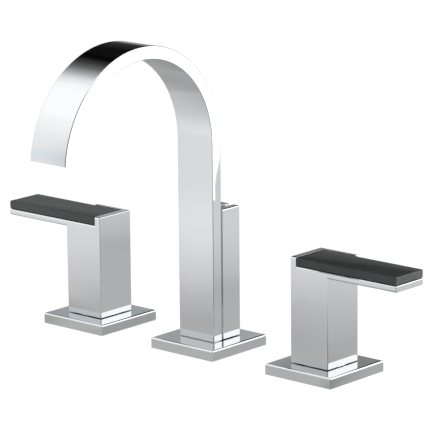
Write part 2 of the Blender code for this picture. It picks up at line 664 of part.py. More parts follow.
def make_handle_unit(tag, side):
    """One handle with its valve. side is -1 on the left and 1 on the right."""
    unit = empty(f"{tag}_unit", side * HANDLE_SPACING, 0.0)
    pivot = empty(f"{tag}_pivot", side * HANDLE_SPACING, 0.0)
    make_handle(tag, side, pivot)
    make_glass(tag, side, pivot)
    make_adapter(tag, pivot)
    make_stem(tag, pivot)
    make_discs(tag, pivot, unit)
    make_cartridge(tag, unit)
    make_valve_body(tag, side, unit)
    make_valve_fixings(tag, unit)
    shank_hole = cylinder(f"{tag}_plate_hole", unit, SHANK_RADIUS + FIT_GAP, -OVERRUN, plate_top + OVERRUN)
    plate = make_plate(tag, unit, [shank_hole])
    nut_pocket = cylinder(f"{tag}_nut_pocket", unit, nut_pocket_radius, plate_nut_bottom - FIT_GAP,
                          plate_top + OVERRUN)
    cut(plate, nut_pocket)


def band_outline(outer, inner, low, overrun):
    """Side view of the band as (y, z) points: up the back, over the arc, down the front."""
    end = ARC_SWEEP + overrun
    angles = [end * index / ARC_STEPS for index in range(ARC_STEPS + 1)]
    points = [(arc_y + outer, low)]
    points += [(arc_y + outer * math.cos(angle), arc_z + outer * math.sin(angle)) for angle in angles]
    points += [(arc_y + inner * math.cos(angle), arc_z + inner * math.sin(angle))
               for angle in reversed(angles)]
    points.append((arc_y + inner, low))
    return points


def make_spout(unit):
    """Arched band with a flat waterway inside and a tenon that enters the foot."""
    spout = band("spout", unit, band_outline(ARC_RADIUS, ARC_RADIUS - SPOUT_THICKNESS, column_bottom, 0.0),
                 SPOUT_WIDTH, "chrome", METAL_EDGE)
    tenon = box("spout_tenon", unit, (-TENON_WIDTH / 2, band_middle - TENON_THICKNESS / 2, tenon_bottom),
                (TENON_WIDTH / 2, band_middle + TENON_THICKNESS / 2, column_bottom + OVERRUN))
    outer = arc_middle_radius + WATERWAY_THICKNESS / 2
    inner = arc_middle_radius - WATERWAY_THICKNESS / 2
    way_outline = band_outline(outer, inner, tenon_bottom - OVERRUN, OVERRUN / ARC_RADIUS)
    way = band("spout_waterway", unit, way_outline, WATERWAY_WIDTH)
    join(spout, tenon)
    cut(spout, way)
    for tag, side in (("left", -1), ("right", 1)):
        hole = cylinder(f"spout_screw_hole_{tag}", unit, FOOT_SCREW_RADIUS + FIT_GAP, tenon_bottom - OVERRUN,
                        foot_screw_top(SPOUT_SCREW_LENGTH) + FIT_GAP, steps=SMALL_STEPS,
                        at=(side * SPOUT_SCREW_OFFSET, band_middle))
        cut(spout, hole)


def make_stream_former(unit):
    """Slotted insert in the spout's mouth."""
    half_width = WATERWAY_WIDTH / 2 - FIT_GAP
    half_thickness = WATERWAY_THICKNESS / 2 - FIT_GAP
    tip = bpy.data.objects.new("mouth", None)
    parts.objects.link(tip)
    tip.parent = unit
    tip.location = (0.0, arc_y + arc_middle_radius * math.cos(ARC_SWEEP),
                    arc_z + arc_middle_radius * math.sin(ARC_SWEEP))
    tip.rotation_euler = (ARC_SWEEP - math.pi, 0.0, 0.0)
    bow = arc_middle_radius - math.sqrt(arc_middle_radius ** 2 - FORMER_LENGTH ** 2)
    former = box("stream_former", tip, (-half_width, bow - half_thickness, FORMER_RECESS),
                 (half_width, half_thickness, FORMER_LENGTH), "nylon")
    pitch = (2 * half_width - FORMER_WEB) / FORMER_SLOTS
    for index in range(FORMER_SLOTS):
        start = FORMER_WEB - half_width + pitch * index
        slot = box(f"former_slot_{index + 1}", tip, (start, bow - half_thickness + FORMER_WEB, -OVERRUN),
                   (start + pitch - FORMER_WEB, half_thickness - FORMER_WEB, FORMER_LENGTH + OVERRUN))
        cut(former, slot)


def make_post(unit):
    """Rear post: hollow below, open at the top and back round the lift knob."""
    half = SPOUT_WIDTH / 2
    post = box("rear_post", unit, (-half, post_front, column_bottom), (half, POST_BACK, post_top),
               "chrome", METAL_EDGE)
    half_opening = KNOB_WIDTH / 2 + KNOB_SLOT
    opening = box("post_opening", unit, (-half_opening, knob_front - FIT_GAP, knob_floor),
                  (half_opening, POST_BACK + OVERRUN, post_top + OVERRUN))
    inner = half - POST_WALL
    hollow = box("post_hollow", unit, (-inner, post_front + POST_WALL, column_bottom - OVERRUN),
                 (inner, POST_BACK - POST_WALL, hollow_roof))
    rod_way = cylinder("post_rod_way", unit, ROD_RADIUS + FIT_GAP, column_bottom, knob_floor + OVERRUN,
                       steps=SMALL_STEPS, at=(0.0, rod_y))
    bush_seat = cylinder("post_bush_seat", unit, ROD_RADIUS + 2 * FIT_GAP + BUSH_WALL, column_bottom,
                         hollow_roof + POST_ROOF / 2 + FIT_GAP, steps=RING_STEPS, at=(0.0, rod_y))
    cut(post, opening, hollow, rod_way, bush_seat)
    for tag, side in (("left", -1), ("right", 1)):
        place = (side * POST_SCREW_OFFSET, post_middle)
        boss = cylinder(f"post_boss_{tag}", unit, POST_BOSS_RADIUS, column_bottom, hollow_roof + FIT_GAP,
                        steps=SMALL_STEPS, at=place)
        hole = cylinder(f"post_boss_hole_{tag}", unit, FOOT_SCREW_RADIUS + FIT_GAP, column_bottom - OVERRUN,
                        foot_screw_top(POST_SCREW_LENGTH) + FIT_GAP, steps=SMALL_STEPS, at=place)
        join(post, boss)
        cut(post, hole)
    bush_top = hollow_roof + POST_ROOF / 2
    inner = ROD_RADIUS + FIT_GAP
    profile = [(inner + BUSH_WALL, bush_top), (inner + BUSH_WALL, hollow_roof - FIT_GAP),
               (inner + BUSH_WALL + BUSH_FLANGE, hollow_roof - FIT_GAP),
               (inner + BUSH_WALL + BUSH_FLANGE, hollow_roof - FIT_GAP - BUSH_FLANGE),
               (inner, hollow_roof - FIT_GAP - BUSH_FLANGE), (inner, bush_top)]
    turned("rod_bush", unit, profile, "nylon", RING_STEPS, at=(0.0, rod_y))


def make_lift(lift):
    """Lift knob and rod of the basin's drain. Their empty is on the rod's axis."""
    half = KNOB_WIDTH / 2
    knob = box("lift_knob", lift, (-half, knob_front - rod_y, knob_bottom),
               (half, POST_BACK - rod_y, post_top), "chrome", KNOB_EDGE)
    rod_top = knob_bottom + ROD_IN_KNOB
    hole = cylinder("lift_knob_hole", lift, ROD_RADIUS + FIT_GAP, knob_bottom - OVERRUN, rod_top + FIT_GAP,
                    steps=SMALL_STEPS)
    cut(knob, hole)
    shoulder = ROD_END_HEIGHT - ROD_TAIL
    profile = [(0.0, rod_top), (ROD_RADIUS, rod_top), (ROD_RADIUS, shoulder), (ROD_END_RADIUS, shoulder),
               (ROD_END_RADIUS, -ROD_TAIL), (0.0, -ROD_TAIL)]
    turned("lift_rod", lift, profile, "chrome", SMALL_STEPS, closed=False)


def foot_screw_top(length):
    """Upper end of a screw that enters from under the foot."""
    return FIT_GAP + FOOT_SCREW_HEAD_HEIGHT + length


def screw_places():
    """Name, place and length of each screw under the foot."""
    for tag, side in (("left", -1), ("right", 1)):
        yield f"spout_screw_{tag}", (side * SPOUT_SCREW_OFFSET, band_middle), SPOUT_SCREW_LENGTH
        yield f"post_screw_{tag}", (side * POST_SCREW_OFFSET, post_middle), POST_SCREW_LENGTH


def make_foot(unit):
    """Foot let into the spout's plate, with the tenon's socket above and the shank's socket below."""
    half_x = FOOT_WIDTH / 2
    half_y = foot_half_depth
    foot = box("spout_foot", unit, (-half_x, -half_y, FIT_GAP), (half_x, half_y, foot_top), "brass")
    boss = cylinder("foot_boss", unit, FOOT_BOSS_RADIUS, FIT_GAP - FOOT_BOSS_LENGTH, foot_top - FOOT_SOCKET,
                    at=(0.0, band_middle))
    half_tenon = TENON_WIDTH / 2 + FIT_GAP
    half_thick = TENON_THICKNESS / 2 + FIT_GAP
    socket = box("foot_socket", unit, (-half_tenon, band_middle - half_thick, socket_floor),
                 (half_tenon, band_middle + half_thick, foot_top + OVERRUN))
    half_way = WATERWAY_WIDTH / 2
    plenum_floor = FIT_GAP + FOOT_THICKNESS / 4
    plenum = box("foot_plenum", unit, (-half_way, band_middle - WATERWAY_THICKNESS / 2, plenum_floor),
                 (half_way, band_middle + WATERWAY_THICKNESS / 2, foot_top))
    way = cylinder("foot_way", unit, SPOUT_SHANK_BORE, -FOOT_BOSS_LENGTH, socket_floor - FIT_GAP,
                   at=(0.0, band_middle))
    thread = cylinder("foot_thread", unit, SPOUT_SHANK_RADIUS + FIT_GAP, -FOOT_BOSS_LENGTH - OVERRUN, 0.0,
                      at=(0.0, band_middle))
    rod_hole = cylinder("foot_rod_hole", unit, ROD_RADIUS + 2 * FIT_GAP, -OVERRUN, foot_top + OVERRUN,
                        steps=SMALL_STEPS, at=(0.0, rod_y))
    join(foot, boss)
    cut(foot, socket, plenum, way, thread, rod_hole)

    head_top = FIT_GAP + FOOT_SCREW_HEAD_HEIGHT
    for name, place, length in screw_places():
        top = foot_screw_top(length)
        hole = cylinder(f"{name}_way", unit, FOOT_SCREW_RADIUS + FIT_GAP, -OVERRUN, foot_top + OVERRUN,
                        steps=SMALL_STEPS, at=place)
        head_seat = cylinder(f"{name}_seat", unit, FOOT_SCREW_HEAD_RADIUS + FIT_GAP, -OVERRUN,
                             head_top + FIT_GAP, steps=SMALL_STEPS, at=place)
        cut(foot, hole, head_seat)
        profile = [(0.0, top), (FOOT_SCREW_RADIUS, top), (FOOT_SCREW_RADIUS, head_top),
                   (FOOT_SCREW_HEAD_RADIUS, head_top), (FOOT_SCREW_HEAD_RADIUS, FIT_GAP), (0.0, FIT_GAP)]
        screw = turned(name, unit, profile, "steel", SMALL_STEPS, closed=False, at=place)
        key = prism(f"{name}_key", unit, hexagon(FOOT_SCREW_HEAD_RADIUS), -OVERRUN,
                    FIT_GAP + FOOT_SCREW_HEAD_HEIGHT / 2, at=place)
        cut(screw, key)

    seal_high = spout_seal_bottom + SPOUT_SEAL_THICKNESS
    half_x = WATERWAY_WIDTH / 2 + SPOUT_SEAL_WALL
    half_y = WATERWAY_THICKNESS / 2 + SPOUT_SEAL_WALL
    seal = box("spout_seal", unit, (-half_x, band_middle - half_y, spout_seal_bottom),
               (half_x, band_middle + half_y, seal_high), "rubber")
    seal_way = box("spout_seal_way", unit,
                   (-half_way, band_middle - WATERWAY_THICKNESS / 2, spout_seal_bottom - OVERRUN),
                   (half_way, band_middle + WATERWAY_THICKNESS / 2, seal_high + OVERRUN))
    cut(seal, seal_way)


def make_spout_plate(unit):
    """Plate over the foot, with openings for the tenon, the rod, the screws and the foot."""
    half_x = FOOT_WIDTH / 2 + FIT_GAP
    half_y = foot_half_depth + FIT_GAP
    foot_pocket = box("foot_pocket", unit, (-half_x, -half_y, -OVERRUN), (half_x, half_y, foot_pocket_roof))
    plate = make_plate("spout", unit, [foot_pocket])
    half_x = TENON_WIDTH / 2 + FIT_GAP
    half_y = TENON_THICKNESS / 2 + FIT_GAP
    tenon_way = box("plate_tenon_way", unit, (-half_x, band_middle - half_y, 0.0),
                    (half_x, band_middle + half_y, plate_top + OVERRUN))
    rod_way = cylinder("plate_rod_way", unit, ROD_RADIUS + 2 * FIT_GAP, 0.0, plate_top + OVERRUN,
                       steps=SMALL_STEPS, at=(0.0, rod_y))
    cut(plate, tenon_way, rod_way)
    for name, place, length in screw_places():
        if name.startswith("post"):
            hole = cylinder(f"plate_{name}_way", unit, FOOT_SCREW_RADIUS + FIT_GAP, 0.0, plate_top + OVERRUN,
                            steps=SMALL_STEPS, at=place)
            cut(plate, hole)


def make_spout_fixings(unit):
    """Shank, washer and nut under the spout, and the tee that joins the two supplies."""
    at = (0.0, band_middle)
    ring("spout_shank", unit, SPOUT_SHANK_BORE, SPOUT_SHANK_RADIUS, shank_bottom, shank_top, "brass", at=at)
    washer = cylinder("spout_washer", unit, SPOUT_WASHER_RADIUS, washer_bottom, washer_top, "rubber")
    shank_hole = cylinder("washer_shank_hole", unit, SPOUT_SHANK_RADIUS + FIT_GAP, washer_bottom - OVERRUN,
                          washer_top + OVERRUN, at=at)
    rod_hole = cylinder("washer_rod_hole", unit, ROD_RADIUS + 2 * FIT_GAP, washer_bottom - OVERRUN,
                        washer_top + OVERRUN, steps=SMALL_STEPS, at=(0.0, rod_y))
    cut(washer, shank_hole, rod_hole)
    nut_top = washer_bottom - FIT_GAP
    nut_bottom = nut_top - SPOUT_NUT_THICKNESS
    nut = prism("spout_nut", unit, hexagon(SPOUT_NUT_FLATS), nut_bottom, nut_top, "brass", at)
    nut_bore = cylinder("spout_nut_bore", unit, SPOUT_SHANK_RADIUS + FIT_GAP, nut_bottom - OVERRUN,
                        nut_top + OVERRUN, at=at)
    cut(nut, nut_bore)

    tee = cylinder("spout_tee", unit, TEE_RADIUS, tee_bottom, tee_top, "brass", at=at)
    arms = cylinder("tee_arms", unit, OUTLET_RADIUS, -TEE_ARM_REACH, TEE_ARM_REACH, steps=RING_STEPS,
                    axis="X", at=(band_middle, tee_arm_z))
    grip = cylinder("tee_grip", unit, SPOUT_SHANK_RADIUS + FIT_GAP, tee_step, tee_top + OVERRUN, at=at)
    well = cylinder("tee_well", unit, SPOUT_SHANK_BORE, tee_arm_z - OUTLET_BORE, tee_top, at=at)
    arm_way = cylinder("tee_arm_way", unit, OUTLET_BORE, -TEE_ARM_REACH - OVERRUN, TEE_ARM_REACH + OVERRUN,
                       steps=SMALL_STEPS, axis="X", at=(band_middle, tee_arm_z))
    join(tee, arms)
    cut(tee, grip, well, arm_way)
    ring("tee_seal", unit, SPOUT_SHANK_BORE + FIT_GAP, SPOUT_SHANK_RADIUS - FIT_GAP, tee_step + FIT_GAP,
         tee_step + FIT_GAP + TEE_SEAL_THICKNESS, "rubber", RING_STEPS, at)


def make_spout_unit():
    unit = empty("spout_unit", 0.0, 0.0)
    lift = empty("lift_axis", 0.0, rod_y)
    make_spout(unit)
    make_stream_former(unit)
    make_post(unit)
    make_lift(lift)
    make_foot(unit)
    make_spout_plate(unit)
    make_spout_fixings(unit)


make_handle_unit("hot", -1)
make_handle_unit("cold", 1)
make_spout_unit()
bpy.context.view_layer.update()
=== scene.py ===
import json
import math
from functools import partial

import bmesh
import bpy
from mathutils import Matrix, Vector


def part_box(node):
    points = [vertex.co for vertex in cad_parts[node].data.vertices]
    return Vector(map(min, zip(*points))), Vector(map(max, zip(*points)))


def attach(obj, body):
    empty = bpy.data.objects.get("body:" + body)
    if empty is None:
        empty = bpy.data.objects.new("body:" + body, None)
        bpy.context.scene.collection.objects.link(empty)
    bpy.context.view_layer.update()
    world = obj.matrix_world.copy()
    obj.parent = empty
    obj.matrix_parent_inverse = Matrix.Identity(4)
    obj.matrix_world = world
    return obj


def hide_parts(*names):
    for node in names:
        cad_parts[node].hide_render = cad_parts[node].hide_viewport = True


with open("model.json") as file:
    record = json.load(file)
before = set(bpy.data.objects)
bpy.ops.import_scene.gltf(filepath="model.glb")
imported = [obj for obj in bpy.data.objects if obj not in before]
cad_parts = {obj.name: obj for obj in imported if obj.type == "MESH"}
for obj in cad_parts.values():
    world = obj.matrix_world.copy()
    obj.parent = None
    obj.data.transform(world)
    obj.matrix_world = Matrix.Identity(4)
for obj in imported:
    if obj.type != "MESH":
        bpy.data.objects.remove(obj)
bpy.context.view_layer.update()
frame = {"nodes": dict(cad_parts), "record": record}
print("frame loaded:", len(frame["nodes"]), "solids")

# Sizes that all pieces share
fit = {
    "weld": 0.00001,
    "spacing": 0.1016,          # from the spout's centre to each handle's centre
    "bandMiddle": -0.00785,     # y of the band's middle plane, over the spout's shank
    "rodY": 0.0076,
    "roundSteps": 72,
    "smallSteps": 36,
    "aside": 0.021,             # turn of a round cutter, so that its corners miss those of what it cuts
}
gap = 0.0003                    # between pieces that rest on or in each other
over = 0.002                    # how far a cutter runs past the faces that it opens
smallEase, fineEase = 0.0003, 0.0002        # chamfers on small turned pieces
sides = {"hot": -1, "cold": 1}


# Bench tools: making, cutting and finishing meshes

def linkPiece(name, mesh):
    piece = bpy.data.objects.new(name, mesh)
    bpy.context.scene.collection.objects.link(piece)
    return piece


def meshPiece(name, points, faces):
    mesh = bpy.data.meshes.new(name)
    mesh.from_pydata([tuple(point) for point in points], [], faces)
    mesh.validate()
    return linkPiece(name, mesh)


def scrap(piece):
    mesh = piece.data
    bpy.data.objects.remove(piece)
    bpy.data.meshes.remove(mesh)


def rework(piece, work):
    form = bmesh.new()
    form.from_mesh(piece.data)
    work(form)
    form.to_mesh(piece.data)
    form.free()
    return piece


def mergeDoubles(form, distance=fit["weld"]):
    bmesh.ops.remove_doubles(form, verts=form.verts, dist=distance)


def facesOut(piece):
    def work(form):
        mergeDoubles(form)
        bmesh.ops.recalc_face_normals(form, faces=form.faces)
    return rework(piece, work)


def settle(piece):
    # a piece and its modifiers become one plain mesh
    bpy.context.view_layer.update()
    ready = piece.evaluated_get(bpy.context.evaluated_depsgraph_get())
    mesh = bpy.data.meshes.new_from_object(ready)
    worn = piece.data
    piece.modifiers.clear()
    piece.data = mesh
    bpy.data.meshes.remove(worn)
    mesh.name = piece.name
    return piece


def block(name, low, high):
    corners = [(x, y, z) for z in (low[2], high[2]) for y in (low[1], high[1]) for x in (low[0], high[0])]
    faces = [(0, 2, 3, 1), (4, 5, 7, 6), (0, 1, 5, 4), (2, 6, 7, 3), (0, 4, 6, 2), (1, 3, 7, 5)]
    return meshPiece(name, corners, faces)


def walls(count):
    # faces between an outline and its second round
    return [(i, (i + 1) % count, count + (i + 1) % count, count + i) for i in range(count)]


def drawn(name, outline, low, high, at=(0.0, 0.0), axis="z"):
    # an outline drawn out between two places on an axis; at shifts its other two coordinates
    order = {"z": (0, 1, 2), "x": (2, 0, 1), "y": (0, 2, 1)}[axis]
    points = [(a + at[0], b + at[1], c) for c in (low, high) for a, b in outline]
    count = len(outline)
    faces = [tuple(reversed(range(count))), tuple(range(count, 2 * count)), *walls(count)]
    return facesOut(meshPiece(name, [[point[i] for i in order] for point in points], faces))


def circle(radius, steps, turn=0.0):
    angles = [2 * math.pi * i / steps + turn for i in range(steps)]
    return [(radius * math.cos(angle), radius * math.sin(angle)) for angle in angles]


def hexagon(flats):
    return circle(flats / math.sqrt(3), 6)


def cornerArc(middle, radius, start, steps):
    # a quarter turn round a corner of an outline
    angles = [start + math.pi / 2 * i / steps for i in range(steps + 1)]
    return [(middle[0] + radius * math.cos(angle), middle[1] + radius * math.sin(angle)) for angle in angles]


def rod(name, radius, low, high, at=(0.0, 0.0), axis="z", steps=None):
    # a round cutter between two places on its axis
    return drawn(name, circle(radius, steps or fit["smallSteps"], fit["aside"]), low, high, at, axis)


def through(name, radius, low, high, at=(0.0, 0.0), axis="z", steps=None):
    return rod(name, radius, low - over, high + over, at, axis, steps)


def lathe(name, profile, at=(0.0, 0.0), closed=True):
    # (radius, height) points turned about an upright axis; an open profile starts and ends on the axis
    steps = fit["roundSteps"]
    points, rows = [], []
    for radius, height in profile:
        if radius < fit["weld"]:
            rows.append([len(points)] * steps)
            points.append((at[0], at[1], height))
            continue
        rows.append(list(range(len(points), len(points) + steps)))
        points += [(at[0] + x, at[1] + y, height) for x, y in circle(radius, steps)]
    faces = []
    for lower, upper in zip(rows, rows[1:] + rows[:1] if closed else rows[1:]):
        for i in range(steps):
            ring = [lower[i], lower[(i + 1) % steps], upper[(i + 1) % steps], upper[i]]
            face = [corner for n, corner in enumerate(ring) if corner not in ring[:n]]
            if len(face) > 2:
                faces.append(tuple(face))
    return facesOut(meshPiece(name, points, faces))


def turned(name, profile, at=(0.0, 0.0), ease=0.0004, closed=True):
    # a lathe form with a short chamfer on every corner, apart from the ends of an open profile
    points = [Vector(point) for point in profile]
    eased, most = [], 0.45          # share of a side that a chamfer may take
    for i, point in enumerate(points):
        if not closed and i in (0, len(points) - 1):
            eased.append(tuple(point))
            continue
        before, after = points[i - 1] - point, points[(i + 1) % len(points)] - point
        reach = min(ease, before.length * most, after.length * most)
        eased += [tuple(point + before.normalized() * reach), tuple(point + after.normalized() * reach)]
    return lathe(name, eased, at, closed)


def lay(piece, axis, at):
    # an upright piece on the Z axis is laid along another axis, through a place
    turn = Matrix.Rotation(math.pi / 2, 4, "Y") if axis == "x" else Matrix.Rotation(-math.pi / 2, 4, "X")
    place = (0.0, at[0], at[1]) if axis == "x" else (at[0], 0.0, at[1])
    piece.data.transform(Matrix.Translation(place) @ turn)
    return piece


def shift(piece, x, y, z=0.0):
    piece.data.transform(Matrix.Translation((x, y, z)))
    return piece


def gather(piece, *others):
    # further closed forms join a piece's mesh as they are
    rework(piece, lambda form: [form.from_mesh(other.data) for other in others])
    for other in others:
        scrap(other)
    return piece


def combine(how, piece, *tools):
    for tool in tools:
        step = piece.modifiers.new(how.lower(), "BOOLEAN")
        step.operation = how
        step.solver = "EXACT"
        step.object = tool
    settle(piece)
    for tool in tools:
        scrap(tool)
    return piece


carve, weldOn = partial(combine, "DIFFERENCE"), partial(combine, "UNION")


def roundOver(piece, width, segments=4, rule=None, sharp=35.0, clamp=True):
    # rounds the outer edges; rule gives an edge's share of the width, from its middle and direction
    def work(form):
        mergeDoubles(form)
        flat = math.radians(0.4)        # faces that differ by less become one
        bmesh.ops.dissolve_limit(form, angle_limit=flat, verts=form.verts, edges=form.edges)
        shares = form.edges.layers.float.new("bevel_weight_edge")
        for edge in form.edges:
            outer = len(edge.link_faces) == 2 and edge.is_convex
            if outer and edge.calc_face_angle(0.0) > math.radians(sharp):
                first, last = (corner.co for corner in edge.verts)
                edge[shares] = 1.0 if rule is None else rule((first + last) / 2, (last - first).normalized())
    rework(piece, work)
    step = piece.modifiers.new("round over", "BEVEL")
    step.limit_method = "WEIGHT"
    step.width = width
    step.segments = segments
    step.use_clamp_overlap = clamp
    return settle(piece)


def polishFaces(piece, sharp=38.0):
    # flat faces stay flat in a mirror finish and only the rounded edges turn
    def work(form):
        mergeDoubles(form, fit["weld"] / 2)
        for face in form.faces:
            face.smooth = True
        for edge in form.edges:
            edge.smooth = len(edge.link_faces) == 2 and edge.calc_face_angle(0.0) < math.radians(sharp)
    rework(piece, work)
    step = piece.modifiers.new("flat faces", "WEIGHTED_NORMAL")
    step.keep_sharp = True
    step.weight = 50
    return settle(piece)


# Node work shared by the finishes, the studio and the growing trees

def feed(tree, socket, value):
    # a socket takes a link from another socket, or a plain value
    if isinstance(value, bpy.types.NodeSocket):
        tree.links.new(value, socket)
    else:
        socket.default_value = value


def put(tree, kind, inputs=None, out=0, **settings):
    # a new node with its settings and its inputs gives one of its outputs
    made = tree.nodes.new(kind)
    for label, value in settings.items():
        setattr(made, label, value)
    for label, value in (inputs or {}).items():
        feed(tree, made.inputs[label], value)
    return made.outputs[out]


def calculate(tree, operation, first, second=0.0):
    return put(tree, "ShaderNodeMath", {0: first, 1: second}, operation=operation)


def sums(tree):
    # plus, minus, times and shared between, in one tree
    return [partial(calculate, tree, operation) for operation in ("ADD", "SUBTRACT", "MULTIPLY", "DIVIDE")]


def arrow(tree, **parts):
    return put(tree, "ShaderNodeCombineXYZ", parts)


def ownPlace(tree):
    return put(tree, "ShaderNodeTexCoord", out="Object")


def placeParts(tree):
    # an object's own X, Y and Z
    return put(tree, "ShaderNodeSeparateXYZ", {0: ownPlace(tree)}).node.outputs


def spread(tree, value, low, high, fromLow=0.0, fromHigh=1.0):
    return put(tree, "ShaderNodeMapRange", {"Value": value, "From Min": fromLow, "From Max": fromHigh,
                                            "To Min": low, "To Max": high}, "Result")


def blendStops(tree, value, stops):
    # stops are (place, colour) pairs in order
    made = tree.nodes.new("ShaderNodeValToRGB")
    while len(made.color_ramp.elements) < len(stops):
        made.color_ramp.elements.new(1.0)
    for element, (place, colour) in zip(made.color_ramp.elements, stops):
        element.position = place
        element.color = (*colour, 1.0)
    feed(tree, made.inputs["Fac"], value)
    return made.outputs["Color"]


def grain(tree, scale, detail=3.0, stretch=(1.0, 1.0, 1.0)):
    place = put(tree, "ShaderNodeMapping", {"Vector": ownPlace(tree), "Scale": stretch})
    return put(tree, "ShaderNodeTexNoise", {"Vector": place, "Scale": scale, "Detail": detail}, "Fac")


# Finishes

def newFinish(name, colour, roughness, metallic=0.0):
    finish = bpy.data.materials.new(name)
    finish.use_nodes = True
    tree = finish.node_tree
    shader = tree.nodes["Principled BSDF"].inputs
    for label, value in (("Base Color", (*colour, 1.0)), ("Roughness", roughness), ("Metallic", metallic)):
        shader[label].default_value = value
    return finish, tree, shader


def relief(tree, shader, height, strength, distance):
    bump = put(tree, "ShaderNodeBump", {"Height": height, "Strength": strength, "Distance": distance})
    feed(tree, shader["Normal"], bump)
    return bump


# A grain is its scale, detail and stretch, and a relief its strength and depth
chrome = {"colour": (0.547, 0.560, 0.564), "rough": (0.020, 0.045), "marked": (0.12, 0.42),
          "cloud": (34.0, 4.0),
          "wiping": (420.0, 3.0, (1.0, 1.0, 0.05)),     # fine marks that run up and down
          "waves": (26.0, 2.0), "relief": (0.35, 0.00004)}


def makePolishedChrome():
    finish, tree, shader = newFinish("polishedChrome", chrome["colour"], chrome["rough"][0], 1.0)
    marks = calculate(tree, "MULTIPLY", grain(tree, *chrome["cloud"]), grain(tree, *chrome["wiping"]))
    feed(tree, shader["Roughness"], spread(tree, marks, *chrome["rough"], *chrome["marked"]))
    relief(tree, shader, grain(tree, *chrome["waves"]), *chrome["relief"])
    return finish


glass = {"colour": (0.031, 0.0325, 0.0322), "clouded": (0.026, 0.0275, 0.027), "between": (0.3, 0.7),
         "cloud": (55.0, 3.0), "plainRough": 0.35, "rough": (0.30, 0.40),
         "coat": {"Weight": 0.42, "IOR": 1.5, "Roughness": 0.04},
         "crown": 1.5, "crownY": -0.0036, "fall": 112.0, "ripples": (90.0, 2.0), "ripple": 0.000006}


def makeCharcoalGlass():
    finish, tree, shader = newFinish("charcoalGlass", glass["colour"], glass["plainRough"])
    cloud = grain(tree, *glass["cloud"])
    stops = list(zip(glass["between"], (glass["clouded"], glass["colour"])))
    feed(tree, shader["Base Color"], blendStops(tree, cloud, stops))
    feed(tree, shader["Roughness"], spread(tree, cloud, *glass["rough"]))
    shader["Specular IOR Level"].default_value = 0.0      # the gloss is the clear layer's own
    for label, value in glass["coat"].items():
        shader["Coat " + label].default_value = value
    # the slab's upper face is slightly crowned and falls away at its rear edge
    minus, times = sums(tree)[1:3]
    y = placeParts(tree)["Y"]
    away = minus(y, glass["crownY"])
    crown = times(times(away, away), glass["crown"])
    rear = calculate(tree, "MAXIMUM", y, 0.0)
    fall = times(calculate(tree, "POWER", rear, 3.0), glass["fall"])
    ripple = times(grain(tree, *glass["ripples"]), glass["ripple"])
    feed(tree, shader["Coat Normal"], relief(tree, shader, minus(minus(ripple, crown), fall), 1.0, 1.0))
    return finish


# Plainer finishes: colour, roughness and metal; a grain that sets the roughness; a grain with colour
# stops, and one for the relief, where these differ from the first
mixes = {
    "machinedBrass": {"base": ((0.62, 0.44, 0.20), 0.28, 1.0), "marks": (60.0, 4.0, (1.0, 1.0, 60.0)),
                      "rough": (0.20, 0.42), "relief": (0.25, 0.00008), "stain": (45.0, 4.0),
                      "stops": [(0.30, (0.50, 0.34, 0.145)), (0.55, (0.63, 0.45, 0.205)),
                                (0.8, (0.68, 0.50, 0.25))]},
    "stainlessSteel": {"base": ((0.56, 0.55, 0.53), 0.3, 1.0), "marks": (80.0, 4.0, (1.0, 1.0, 40.0)),
                       "rough": (0.18, 0.38), "relief": (0.2, 0.00005)},
    "blackRubber": {"base": ((0.022, 0.022, 0.023), 0.7), "marks": (120.0, 5.0), "rough": (0.60, 0.85),
                    "bumps": (1500.0, 2.0), "relief": (0.35, 0.00006),
                    "stops": [(0.35, (0.017, 0.017, 0.018)), (0.75, (0.034, 0.034, 0.036))]},
    "whiteNylon": {"base": ((0.72, 0.71, 0.67), 0.42), "marks": (300.0, 3.0), "rough": (0.36, 0.52),
                   "bumps": (900.0, 2.0), "relief": (0.2, 0.00003),
                   "stops": [(0.3, (0.68, 0.67, 0.62)), (0.7, (0.75, 0.74, 0.70))],
                   "more": {"Subsurface Weight": 0.05, "Subsurface Radius": (0.0015, 0.0013, 0.0010)}},
    "whiteCeramic": {"base": ((0.80, 0.79, 0.76), 0.15), "marks": (700.0, 3.0), "rough": (0.08, 0.22),
                     "relief": (0.1, 0.00001),
                     "stops": [(0.25, (0.74, 0.73, 0.69)), (0.6, (0.82, 0.81, 0.78))]},
}
foam = {"base": ((0.12, 0.12, 0.125), 0.9), "cells": 2600.0, "rough": (0.95, 0.80), "relief": (0.5, 0.0001),
        "stops": [(0.1, (0.07, 0.07, 0.075)), (0.6, (0.15, 0.15, 0.155))]}


def makeFinish(name):
    mix = mixes[name]
    finish, tree, shader = newFinish(name, *mix["base"])
    marks = grain(tree, *mix["marks"])
    if "stops" in mix:
        stain = grain(tree, *mix["stain"]) if "stain" in mix else marks
        feed(tree, shader["Base Color"], blendStops(tree, stain, mix["stops"]))
    feed(tree, shader["Roughness"], spread(tree, marks, *mix["rough"]))
    relief(tree, shader, grain(tree, *mix["bumps"]) if "bumps" in mix else marks, *mix["relief"])
    for label, value in mix.get("more", {}).items():
        shader[label].default_value = value
    return finish


def makeFoamTape():
    finish, tree, shader = newFinish("foamTape", *foam["base"])
    cells = put(tree, "ShaderNodeTexVoronoi", {"Vector": ownPlace(tree), "Scale": foam["cells"]}, "Distance")
    feed(tree, shader["Base Color"], blendStops(tree, cells, foam["stops"]))
    feed(tree, shader["Roughness"], spread(tree, cells, *foam["rough"]))
    relief(tree, shader, cells, *foam["relief"])
    return finish


slotFinish = {"chrome": makePolishedChrome(), "charcoal_glass": makeCharcoalGlass(),
              "brass": makeFinish("machinedBrass"), "steel": makeFinish("stainlessSteel"),
              "rubber": makeFinish("blackRubber"), "nylon": makeFinish("whiteNylon"),
              "ceramic": makeFinish("whiteCeramic"), "foam_tape": makeFoamTape()}
print("finishes mixed:", len(slotFinish))

